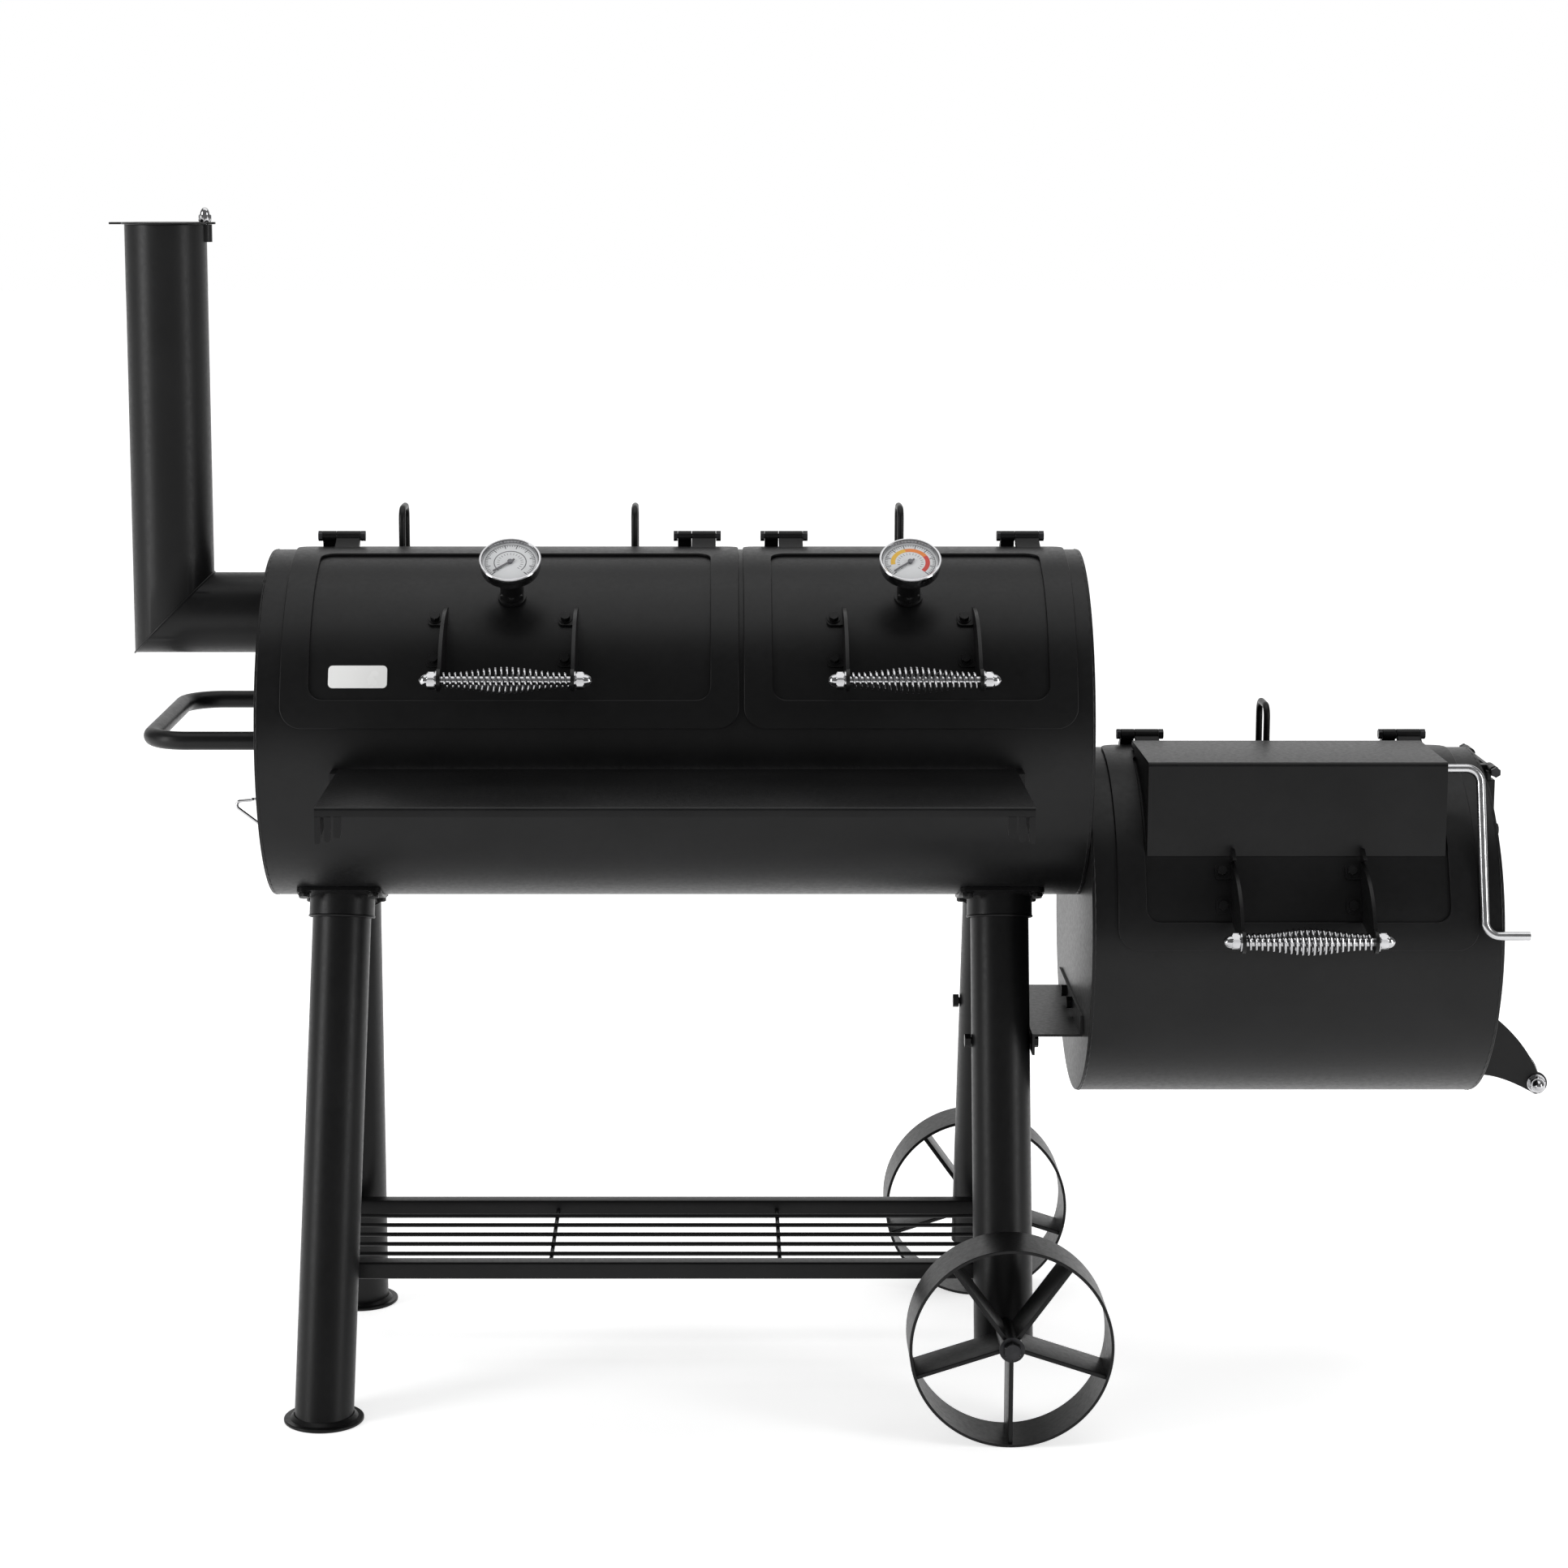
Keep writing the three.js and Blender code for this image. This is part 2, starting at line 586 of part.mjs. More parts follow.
/** Side outline of a grip bracket on a barrel, as [y, z] about the barrel's axis. */
function bracketOutline(lid) {
  const { top, foot } = lid.horn;
  const seat = Math.max(foot, lid.low + arcDegrees(bandWidth) + 1.5);
  const clear = bandOuter + 3;
  const step = seat > foot ? [polar(clear, seat)] : [];
  const start = polar(seat > foot ? clear : barrelRadius - 1, foot);
  const [tipY, tipZ] = gripCentre(lid);
  const middle = (top + foot) / 2;
  const tipArc = Array.from({ length: 6 }, (_, i) => {
    const angle = (middle - 95 + i * 36) * radians;
    return [tipY - bracketTip * Math.cos(angle), tipZ + bracketTip * Math.sin(angle)];
  });
  const crown = polar(barrelRadius + gripStand - 10, middle + 1);
  const dip = [(start[0] + tipArc[0][0]) / 2 - 2, (start[1] + tipArc[0][1]) / 2 + 6];
  return [...arcPoints(barrelRadius - 1, top, seat), ...step,
    ...bezier(start, dip, tipArc[0], 3).slice(seat > foot ? 0 : 1), ...tipArc.slice(1),
    ...bezier(tipArc[5], crown, polar(barrelRadius - 1, top), 5).slice(1, -1)];
}

/** Spring axis of a lid's handle, as [y, z] about the barrel's axis. */
const gripCentre = (lid) => polar(barrelRadius + gripStand, lid.horn.grip);

function bezier(a, b, c, count) {
  return new THREE.QuadraticBezierCurve(new THREE.Vector2(...a), new THREE.Vector2(...b),
    new THREE.Vector2(...c)).getPoints(count).map((p) => [p.x, p.y]);
}

const bracketXs = (middle) => [middle - gripSpacing / 2, middle + gripSpacing / 2];
const barHalf = gripSpacing / 2 + bracketPlate / 2 + touchGap;

/** Brackets of a lid's handle, with the hole for the bar and two bolted tabs each. */
function lidBrackets(lid) {
  const outline = bracketOutline(lid).map(([y, z]) => [y, z + lid.axisZ]);
  const [y, z] = gripCentre(lid);
  const bodies = [];
  for (const x of bracketXs(lid.middle)) {
    bodies.push(plateX(outline, x - bracketPlate / 2, x + bracketPlate / 2)
      .subtract(rodX(x - 10, x + 10, y, z + lid.axisZ, barRadius + touchGap)));
    const rise = lid.horn.top - lid.horn.foot;
    for (const turn of [lid.horn.top - 0.2 * rise, lid.horn.top - 0.74 * rise]) {
      bodies.push(sector(barrelRadius - 1, barrelRadius + 3, turn - 2.4, turn + 2.4, x - 20, x, lid.axisZ));
      const head = [polar(barrelRadius + 1, turn), polar(barrelRadius + 9, turn)]
        .map(([py, pz]) => new THREE.Vector3(x - 12, py, pz + lid.axisZ));
      bodies.push(rodBetween(head[0], head[1], 5.5, 6));
    }
  }
  return bodies;
}

/** Bar with an acorn nut on each end, along X. */
function gripBar(middle, y, z) {
  const parts = [rodX(middle - barHalf - 6, middle + barHalf + 6, y, z, barRadius)];
  for (const side of [-1, 1]) {
    const a = middle + side * barHalf;
    const b = a + side * nutLength * 0.55;
    parts.push(hexNut(Math.min(a, b), Math.max(a, b), y, z, nutRadius));
    parts.push(solid(new THREE.SphereGeometry(nutRadius * 0.85, 8, 4), move(b, y, z)));
  }
  return union(parts);
}

/** Barrel-shaped sleeve with the outside of the handle's coil spring, along X. */
function gripSpring(middle, y, z) {
  const half = gripSpacing / 2 - bracketPlate / 2 - touchGap;
  const count = 4;
  const outer = Array.from({ length: count + 1 }, (_, i) => {
    const u = -1 + 2 * i / count;
    return [springEnd + (springMiddle - springEnd) * (1 - u * u), -middle - half * u];
  });
  const bore = barRadius + touchGap;
  return lathedX([[bore, outer[0][1]], ...outer, [bore, outer[count][1]]].map(([r, x]) => [r, -x]), y, z);
}

function thermometer(lid) {
  const [ny, nz] = polar(1, dialAngle);
  const at = (r) => new THREE.Vector3(lid.middle, ny * r, nz * r + lid.axisZ);
  const caseFoot = bandOuter + dialStand;
  const collar = rodBetween(at(barrelRadius + touchGap), at(caseFoot + 1), stemRadius, 12);
  const round = rodBetween(at(caseFoot), at(caseFoot + dialDepth), dialRadius, roundSides);
  const dished = rodBetween(at(caseFoot + dialDepth - 5), at(caseFoot + dialDepth + 3), dialRadius - 4, roundSides);
  const probe = rodBetween(at(barrelRadius - probeLength), at(barrelRadius + 2), probeRadius);
  return union([collar, round.subtract(dished), probe]);
}

function needle(lid) {
  const [ny, nz] = polar(1, dialAngle);
  const up = new THREE.Vector3(0, -nz, ny).multiplyScalar(-1);
  const out = new THREE.Vector3(0, ny, nz);
  const face = bandOuter + dialStand + dialDepth - 5 + touchGap;
  const centre = out.clone().multiplyScalar(face).add(new THREE.Vector3(lid.middle, 0, lid.axisZ));
  const side = new THREE.Vector3(1, 0, 0);
  const frame = new THREE.Matrix4().makeBasis(side, up, out).setPosition(centre);
  const turn = new THREE.Matrix4().makeRotationZ(130 * radians);
  const blade = solid(new THREE.BoxGeometry(1.6, 30, 1.2), frame.clone().multiply(turn)
    .multiply(move(0, 9, 1.2)));
  const boss = solid(new THREE.CylinderGeometry(3, 3, 2.4, boltSides),
    frame.clone().multiply(move(0, 0, 1.2)).multiply(alongZ));
  return blade.add(boss);
}

for (const [name, lid] of Object.entries(lids)) {
  const high = panelHigh;
  const half = bandWidth / 2;
  let panel = roundedSector(innerRadius, barrelRadius, panelLow(lid.low), high, lid.x0 + half,
    lid.x1 - half, lid.axisZ, panelCorner);
  panel = union([panel, ...lidBrackets(lid)]);
  const holes = [];
  if (name !== 'firebox_lid') {
    const [y, z] = polar(1, dialAngle);
    const ends = [barrelRadius - 20, barrelRadius + 20]
      .map((r) => new THREE.Vector3(lid.middle, y * r, z * r + lid.axisZ));
    holes.push(rodBetween(ends[0], ends[1], probeRadius + touchGap));
  } else {
    holes.push(sector(innerRadius - 5, barrelRadius + 0.5, 40, 76, lid.middle - 150, lid.middle + 150,
      lid.axisZ));
  }
  for (const hole of holes) panel = panel.subtract(hole);
  node(`${name}_panel`, panel, black);

  const bandLow = lid.low + arcDegrees(bandWidth);
  const bandHigh = lidTopAngle - arcDegrees(bandTopWidth);
  let band = roundedSector(bandInner, bandOuter, lid.low, lidTopAngle, lid.x0, lid.x1, lid.axisZ, lidCorner)
    .subtract(roundedSector(bandInner - 10, bandOuter + 10, bandLow, bandHigh, lid.x0 + bandWidth,
      lid.x1 - bandWidth, lid.axisZ, panelCorner));
  const z = lid.axisZ + hingeZ;
  for (const x of lid.hingeXs) {
    const x0 = x + fixedKnuckle + knuckleGap;
    const x1 = x0 + movingKnuckle;
    const leaf = plateX([[hingeBack, z + 4], [hingeBack - 22, z - 7], [hingeBack - 26, z - 12],
      [hingeBack - 6, z - 12.4], [hingeBack, z - 5]], x0, x1);
    band = union([band, rodX(x0, x1, hingeBack, z, knuckleRadius), leaf])
      .subtract(rodX(x0 - 1, x1 + 1, hingeBack, z, pinRadius + touchGap));
    const pinName = `${name}_hinge_pin_${lid.hingeXs.indexOf(x) + 1}`;
    node(pinName, union([rodX(x - 1, x1 + 6, hingeBack, z, pinRadius),
      hexNut(x1 + touchGap, x1 + 6, hingeBack, z, knuckleRadius),
      hexNut(x - 5, x - touchGap, hingeBack, z, knuckleRadius)]), zinc);
  }
  node(`${name}_frame`, band, black);

  const [gy, gz] = gripCentre(lid);
  node(`${name}_handle_bar`, gripBar(lid.middle, gy, gz + lid.axisZ), chrome);
  node(`${name}_handle_spring`, gripSpring(lid.middle, gy, gz + lid.axisZ), chrome);
}

node('left_thermometer', thermometer(lids.left_lid), steel);
node('right_thermometer', thermometer(lids.right_lid), steel);
node('left_needle', needle(lids.left_lid), black);
node('right_needle', needle(lids.right_lid), black);
const badgeX = lids.left_lid.x0 + bandWidth + 22;
node('badge_plate', sector(barrelRadius + touchGap, barrelRadius + 2, 19.5, 27.2, badgeX,
  badgeX + 66, chamberAxisZ), white);

// ---- hopper and crank on the firebox lid --------------------------------------------------------

const hopperX0 = fireboxMiddle - hopperHalf;
const hopperX1 = fireboxMiddle + hopperHalf;
const spindleZ = fireboxAxisZ + crankZ;
const hopperRoof = fireboxAxisZ + hopperTop;
const bandCorner = (x0, x1) => sector(barrelRadius - 9, bandOuter + touchGap,
  lidTopAngle - arcDegrees(bandTopWidth + panelCorner) - 0.6, lidTopAngle + 6, x0, x1, fireboxAxisZ);
const hopper = box(hopperX0, hopperX1, hopperFrontY, hopperBackY, fireboxAxisZ + 90, hopperRoof)
  .subtract(box(hopperX0 + hopperSheet, hopperX1 - hopperSheet, hopperFrontY + hopperSheet,
    hopperBackY - hopperSheet, fireboxAxisZ, hopperRoof - hopperSheet))
  .subtract(rodX(hopperX0 - 5, hopperX1 + 5, 0, fireboxAxisZ, barrelRadius + touchGap, bandSides))
  .subtract(sector(barrelRadius - 9, bandOuter + touchGap,
    lidTopAngle - arcDegrees(bandTopWidth) - 0.6, lidTopAngle + 6, hopperX0 - 5, hopperX1 + 5, fireboxAxisZ))
  .subtract(bandCorner(hopperX0 - 5, hopperX0 + panelCorner))
  .subtract(bandCorner(hopperX1 - panelCorner, hopperX1 + 5))
  .subtract(rodX(hopperX1 - 10, hopperX1 + 10, crankY, spindleZ, crankRadius + touchGap, pivotSides));
node('fuel_hopper', hopper, black);

// The arm hangs against the barrel: its lean is the tangent from the spindle to the shell.
const spindleReach = Math.hypot(crankY, crankZ);
const lean = Math.asin((barrelRadius + crankRadius + 0.8) / spindleReach) - Math.atan2(-crankY, crankZ);
const armX = hopperX1 + crankOut;
const armEnd = [crankY - crankArm * Math.sin(lean), spindleZ - crankArm * Math.cos(lean)];
const crank = bentRod([[hopperX0 + 12, crankY, spindleZ], [armX, crankY, spindleZ],
  [armX, ...armEnd], [armX + crankGrip, ...armEnd]], 16, crankRadius, pivotSides);
const flap = box(fireboxMiddle - 140, fireboxMiddle + 140, crankY, crankY + flapLength, spindleZ - 1.5,
  spindleZ + 1.5);
node('hopper_crank', crank.add(flap), steel);

// ---- end door and air damper --------------------------------------------------------------------

const doorX0 = fireboxRight + touchGap;
const doorX1 = doorX0 + sheet;
const airWindow = (from, x0, x1) => sector(12, airHole, from, from + airSpread, x0, x1, fireboxAxisZ);
let door = rodX(doorX0, doorX1, 0, fireboxAxisZ, doorRadius, capSides)
  .subtract(airWindow(airFrom, doorX0 - 1, doorX1 + 1))
  .subtract(airWindow(airFrom + 180, doorX0 - 1, doorX1 + 1))
  .subtract(box(doorX0 - 1, doorX1 + 1, -doorLug - lugWidth, doorLug + lugWidth, doorAxisZ - 12,
    doorAxisZ + 30));
const strapOut = 16;
for (const side of [-1, 1]) {
  const y0 = side * (doorLug + lugWidth / 2 + 0.5);
  const y1 = y0 + side * strapOut;
  const [a, b] = [Math.min(y0, y1), Math.max(y0, y1)];
  const strap = plateX([[a, doorAxisZ - 75], [b, doorAxisZ - 75], [b, doorAxisZ], [a, doorAxisZ]],
    doorX1 - 1, doorX1 + 3).add(box(doorX0 + 1, doorAxisX + 1, a, b, doorAxisZ - 20, doorAxisZ));
  door = union([door, strap, rodY(a, b, doorAxisX, doorAxisZ, 6),
    hexNut(doorX1 + 2, doorX1 + 10, (a + b) / 2, doorAxisZ - 62, 8)]);
}
door = door.subtract(rodY(-doorLug - 40, doorLug + 40, doorAxisX, doorAxisZ, doorPin + touchGap))
  .subtract(rodX(doorX0 - 5, doorX1 + 5, 0, fireboxAxisZ, damperRivet + touchGap, pivotSides));

// Horn brackets low on the door carry a spring handle along Y.
const hornFoot = fireboxAxisZ - doorRadius + hornLift;
const hornTop = hornFoot + 83;
const hornX = doorX1 + gripStand;
const tipArc = Array.from({ length: 6 }, (_, i) => {
  const angle = (-95 + i * 36) * radians;
  return [hornX + bracketTip * Math.cos(angle), hornFoot - 10 + bracketTip * Math.sin(angle)];
});
const hornOutline = [[doorX1 - 1, hornTop], [doorX1 - 1, hornFoot],
  ...bezier([doorX1, hornFoot], [doorX1 + 26, hornFoot + 2], tipArc[0], 3), ...tipArc.slice(1),
  ...bezier(tipArc[5], [doorX1 + 52, hornFoot + 50], [doorX1, hornTop], 5).slice(1, -1)];
const gripDoorZ = hornFoot - 10;
for (const y of bracketXs(0)) {
  const shape = new THREE.Shape(hornOutline.map(([x, z]) => new THREE.Vector2(x, z)));
  const plate = new THREE.ExtrudeGeometry(shape, { depth: bracketPlate, bevelEnabled: false });
  const turned = new THREE.Matrix4().makeRotationX(Math.PI / 2).setPosition(0, y + bracketPlate / 2, 0);
  door = door.add(solid(plate, turned)
    .subtract(rodY(y - 10, y + 10, hornX, gripDoorZ, barRadius + touchGap)));
}
node('end_door', door, black);

const quarter = new THREE.Matrix4().makeRotationZ(Math.PI / 2);
const aroundY = (body) => {
  const geometry = geometryOf(body);
  return solid(geometry, move(hornX, 0, gripDoorZ).multiply(quarter));
};
node('end_door_handle_bar', aroundY(gripBar(0, 0, 0)), chrome);
node('end_door_handle_spring', aroundY(gripSpring(0, 0, 0)), chrome);
node('end_door_hinge_pin', union([
  rodY(-doorLug - 30, doorLug + 30, doorAxisX, doorAxisZ, doorPin),
  rodY(-doorLug - 32, -doorLug - 27, doorAxisX, doorAxisZ, 6, 6),
  rodY(doorLug + 27, doorLug + 32, doorAxisX, doorAxisZ, 6, 6)]), zinc);

// Damper disc on a rivet: its two windows lie over the door's two at rest, and a quarter turn by
// its tab shuts them.
const damperX0 = doorX1 + touchGap;
const damperX1 = damperX0 + damperSheet;
const damper = union([rodX(damperX0, damperX1, 0, fireboxAxisZ, damperRadius, 24)
  .subtract(airWindow(airFrom, damperX0 - 1, damperX1 + 1))
  .subtract(airWindow(airFrom + 180, damperX0 - 1, damperX1 + 1)),
rodX(doorX0 + touchGap, damperX1 + 1, 0, fireboxAxisZ, damperRivet, pivotSides),
rodX(damperX1 - 1, damperX1 + 5, 0, fireboxAxisZ, 2 * damperRivet, 6),
box(damperX1 - 1, damperX1 + 14, -4, 4, fireboxAxisZ + airHole + 1, fireboxAxisZ + airHole + 6)]);
node('air_damper', damper, black);

// ---- grates -------------------------------------------------------------------------------------

/** Bars along X with cross bars sunk half into their undersides. */
function grate(x0, x1, axisZ, drop) {
  const z = axisZ - drop;
  const half = Math.sqrt(innerRadius ** 2 - drop ** 2) - 4;
  const parts = [];
  for (let i = 0; i < grateBars; i += 1) {
    const y = -half + 12 + (2 * half - 24) * i / (grateBars - 1);
    parts.push(box(x0, x1, y - grateBar / 2, y + grateBar / 2, z + 2, z + 2 + grateBar));
  }
  for (let i = 0; i < grateCrossBars; i += 1) {
    const x = x0 + 20 + (x1 - x0 - 40) * i / (grateCrossBars - 1);
    parts.push(box(x - grateBar / 2, x + grateBar / 2, -half, half, z, z + grateBar));
  }
  return union(parts);
}

const middleX = 0;
node('cooking_grate_left', grate(shellX0 + 6, middleX - 1, chamberAxisZ, grateDrop), zinc);
node('cooking_grate_right', grate(middleX + 1, shellX1 - 6, chamberAxisZ, grateDrop), zinc);
node('charcoal_grate', grate(fireShellX0 + 6, fireShellX1 - 6, fireboxAxisZ, charcoalDrop), zinc);

// ---- legs, sockets, wheels ----------------------------------------------------------------------

const legs = {
  front_left: { side: -1, topX: leftLegTopX, footX: leftLegFootX, wheeled: false },
  back_left: { side: 1, topX: leftLegTopX, footX: leftLegFootX, wheeled: false },
  front_right: { side: -1, topX: rightLegX, footX: rightLegX, wheeled: true },
  back_right: { side: 1, topX: rightLegX, footX: rightLegX, wheeled: true },
};
const socketInner = barrelRadius + touchGap;
const socketOuter = socketInner + socketSheet;
const legStart = socketOuter + 0.7;

function legPoint(leg, fromAxis) {
  const run = (fromAxis - legStart) / (Math.hypot(legFootY, chamberAxisZ) - legStart);
  return new THREE.Vector3(leg.topX + (leg.footX - leg.topX) * run,
    leg.side * fromAxis * Math.sin(legAngle), chamberAxisZ - fromAxis * Math.cos(legAngle));
}

const toHeight = (z) => (chamberAxisZ - z) / Math.cos(legAngle);
const axleZ = wheelRadius;

for (const [name, leg] of Object.entries(legs)) {
  const top = legPoint(leg, legStart);
  const end = legPoint(leg, toHeight(-60));
  const beyond = legPoint(leg, toHeight(-80));
  const floor = leg.wheeled ? rightLegEndZ : footSheet;
  const cut = box(-900, 900, -400, 400, -300, floor);
  const above = legPoint(leg, legStart - 5);
  let tube = rodBetween(top, end, legRadius, roundSides)
    .subtract(rodBetween(above, beyond, legRadius - legWall, roundSides)).subtract(cut);
  if (leg.wheeled) {
    tube = tube.subtract(rodY(-400, 400, rightLegX, axleZ, axleRadius + touchGap, 16))
      .subtract(rodX(rightLegX - 90, rightLegX + 90, legPoint(leg, toHeight(trayBoltZ)).y, trayBoltZ,
        trayBolt + touchGap));
  } else {
    const foot = legPoint(leg, toHeight(0));
    tube = tube.add(rodZ(0, footSheet, foot.x, foot.y, footRadius, 24));
  }
  node(`leg_${name}`, tube, black);

  const centre = leg.side < 0 ? legAngle / radians : -legAngle / radians;
  const turn = -90 + centre;
  const spread = arcDegrees(socketPlate / 2);
  const x = leg.topX;
  let socket = sector(socketInner, socketOuter, turn - spread, turn + spread, x - socketPlate / 2,
    x + socketPlate / 2, chamberAxisZ);
  socket = socket.add(rodBetween(legPoint(leg, socketInner - 6), legPoint(leg, socketOuter + socketDepth),
    legRadius + 4, roundSides)
    .subtract(rodX(x - 200, x + 200, 0, chamberAxisZ, socketInner, bandSides)));
  socket = socket.subtract(rodBetween(legPoint(leg, legStart - 0.4),
    legPoint(leg, socketOuter + socketDepth + 10), legRadius + touchGap, roundSides));
  for (const dx of [-1, 1]) {
    for (const da of [-1, 1]) {
      const angle = turn + da * (spread - 2.6);
      const [a, b] = [socketOuter - 1, socketOuter + 5].map((r) => {
        const [y, z] = polar(r, angle);
        return new THREE.Vector3(x + dx * (socketPlate / 2 - 9), y, z + chamberAxisZ);
      });
      socket = socket.add(rodBetween(a, b, 6, 6));
    }
  }
  node(`leg_socket_${name}`, socket, black);
}

const nutOut = 12;
const axleHalf = wheelOuterY + 2;
node('axle', union([rodY(-axleHalf - 4, axleHalf + 4, rightLegX, axleZ, axleRadius, 16),
  rodY(-axleHalf - nutOut + 3, -axleHalf + 1, rightLegX, axleZ, 12, 6),
  rodY(axleHalf - 1, axleHalf + nutOut - 3, rightLegX, axleZ, 12, 6)]), zinc);

for (const [name, side] of [['wheel_front', -1], ['wheel_back', 1]]) {
  const outer = side * wheelOuterY;
  const inner = side * (wheelOuterY - rimWidth);
  const [y0, y1] = [Math.min(outer, inner), Math.max(outer, inner)];
  const middle = (y0 + y1) / 2;
  let wheel = rodY(y0, y1, rightLegX, axleZ, wheelRadius, wheelSides)
    .subtract(rodY(y0 - 1, y1 + 1, rightLegX, axleZ, wheelRadius - rimSheet, wheelSides));
  const hubOuter = outer - side * 1;
  const hubInner = hubOuter - side * hubLength;
  const [h0, h1] = [Math.min(hubOuter, hubInner), Math.max(hubOuter, hubInner)];
  for (let i = 0; i < spokeCount; i += 1) {
    const angle = -Math.PI / 2 + 2 * Math.PI * i / spokeCount;
    const spoke = new THREE.BoxGeometry(wheelRadius - rimSheet / 2, spokeWidth, spokeSheet);
    const place = move(rightLegX, middle, axleZ).multiply(new THREE.Matrix4().makeRotationY(-angle))
      .multiply(move((wheelRadius - rimSheet / 2) / 2, 0, 0));
    wheel = wheel.add(solid(spoke, place));
  }
  wheel = wheel.add(rodY(h0, h1, rightLegX, axleZ, hubRadius, 16))
    .subtract(rodY(y0 - 10, y1 + 10, rightLegX, axleZ, axleRadius + touchGap, 16));
  node(name, wheel, black);
}

// ---- bottom rack --------------------------------------------------------------------------------

const legInnerY = (chamberAxisZ - railZ - railSize / 2) * Math.tan(legAngle)
  - legRadius / Math.cos(legAngle);
const railOuterY = legInnerY - touchGap - 0.3;
const railX0 = leftLegFootX - railRun;
const railX1 = rightLegX + railRun;
for (const [name, side] of [['rack_front_rail', -1], ['rack_back_rail', 1]]) {
  const [y0, y1] = [side * railOuterY, side * (railOuterY - railSize)].sort((a, b) => a - b);
  node(name, box(railX0, railX1, y0, y1, railZ - railSize / 2, railZ + railSize / 2), black);
}
const rackY = railOuterY - railSize - touchGap;
const rackParts = [];
for (let i = 0; i < rackRods; i += 1) {
  const y = -rackY + 2 * rackY * (i + 1) / (rackRods + 1);
  rackParts.push(box(railX0 + 4, railX1 - 4, y - rackRod, y + rackRod, railZ, railZ + 2 * rackRod));
}
for (let i = 0; i < rackCrossRods; i += 1) {
  const x = railX0 + 8 + (railX1 - railX0 - 16) * i / (rackCrossRods - 1);
  rackParts.push(box(x - rackRod, x + rackRod, -rackY, rackY, railZ - 2 * rackRod + 1, railZ + 1));
}
node('rack_grate', union(rackParts), black);

// ---- firebox bracket ----------------------------------------------------------------------------

// A tray from the right legs to the firebox's left cap: its left flange turns down against the legs
// and is bolted through them, its right flange turns up and is bolted to the cap.
const trayX0 = rightLegX + legRadius + touchGap + 0.4;
const trayX1 = fireboxLeft - touchGap;
const trayBoltY = (chamberAxisZ - trayBoltZ) * Math.tan(legAngle);
const trayParts = [
  box(trayX0, trayX1, -trayHalf, trayHalf, trayZ, trayZ + sheet),
  box(trayX1 - sheet, trayX1, -trayHalf, trayHalf, trayZ, trayZ + trayFlange),
  box(trayX0, trayX0 + sheet, -trayHalf, trayHalf, trayZ + sheet - trayFlange, trayZ + sheet),
];
for (const y of [-21, 38]) {
  trayParts.push(hexNut(trayX1 - sheet - 6, trayX1 - sheet + 1, y, trayZ + 16, 7));
}
for (const y of [-trayBoltY, trayBoltY]) {
  trayParts.push(rodX(rightLegX - legRadius - 7, trayX0 + 1, y, trayBoltZ, trayBolt));
  trayParts.push(hexNut(rightLegX - legRadius - 8, rightLegX - legRadius - 1, y, trayBoltZ, 8));
  trayParts.push(hexNut(trayX0 + 2, trayX0 + sheet + 6, y, trayBoltZ, 8));
}
node('firebox_bracket', union(trayParts), black);

// ---- front shelf --------------------------------------------------------------------------------

const lipDrop = 10;
const shelfParts = [
  box(shelfLeft, shelfRight, shelfFrontY, shelfBackY, shelfTopZ - shelfSheet, shelfTopZ),
  box(shelfLeft, shelfRight, shelfFrontY, shelfFrontY + shelfSheet, shelfTopZ - lipDrop, shelfTopZ),
];
for (const [x, out] of [[shelfLeft, 1], [shelfRight, -1]]) {
  const side = (a, b) => [Math.min(x + out * a, x + out * b), Math.max(x + out * a, x + out * b)];
  const [a0, a1] = side(0, armSheet);
  shelfParts.push(plateX([[shelfFrontY, shelfTopZ - 1], [shelfFrontY, shelfTopZ - armFrontDrop - 6],
    [shelfFrontY + 26, shelfTopZ - armFrontDrop - 6], [shelfBackY, shelfTopZ - armBackDrop],
    [shelfBackY, shelfTopZ - 1]], a0, a1));
  const [b0, b1] = side(0, armWidth);
  const front = box(b0, b1, shelfFrontY, shelfFrontY + 3, shelfTopZ - armFrontDrop - 6, shelfTopZ - 1)
    .subtract(box(b0 + 11, b1 - 11, shelfFrontY - 5, shelfFrontY + 8, shelfTopZ - armFrontDrop,
      shelfTopZ - lipDrop - 4));
  shelfParts.push(front);
}
const shelf = union(shelfParts)
  .subtract(rodX(shelfLeft - 5, shelfRight + 5, shelfPivotY, shelfPivotZ, studRadius + touchGap,
    pivotSides));
node('front_shelf', shelf, black);

// ---- side handle and hook ring ------------------------------------------------------------------

const handleX = chamberLeft - touchGap;
const handleZ = chamberAxisZ + 3;
const sideHandle = bentRod([[handleX, -handleSpan, handleZ], [handleX - handleReach, -handleSpan, handleZ],
  [handleX - handleReach, handleSpan, handleZ], [handleX, handleSpan, handleZ]], handleBend, handleRadius,
  12, 4);
const flange = (y) => rodX(handleX - 5, handleX, y, handleZ, handleRadius + 6, 12);
node('side_handle', union([sideHandle, flange(-handleSpan), flange(handleSpan)]), black);

// The ring hangs in the eye on the left cap and leans back against the cap.
const ringOut = [bailEye.x - 38, bailEye.z - 2];
const ringLow = [chamberLeft - wire - 0.6, bailEye.z - 36];
const ring = bentRod([[bailEye.x - 12, bailY, bailEye.z], [ringOut[0], bailY, ringOut[1]],
  [ringLow[0], bailY, ringLow[1]], [bailEye.x - 2, bailY, bailEye.z - 9]], 5, wire, 6);
node('hook_ring', union([ring, rodY(bailY - 8, bailY + 8, bailEye.x, bailEye.z, wire, 10),
  rodX(bailEye.x - 14, bailEye.x, bailY + 6, bailEye.z, wire, 8),
  rodY(bailY - 1, bailY + 7.5, bailEye.x - 13, bailEye.z, wire, 8)]), chrome);

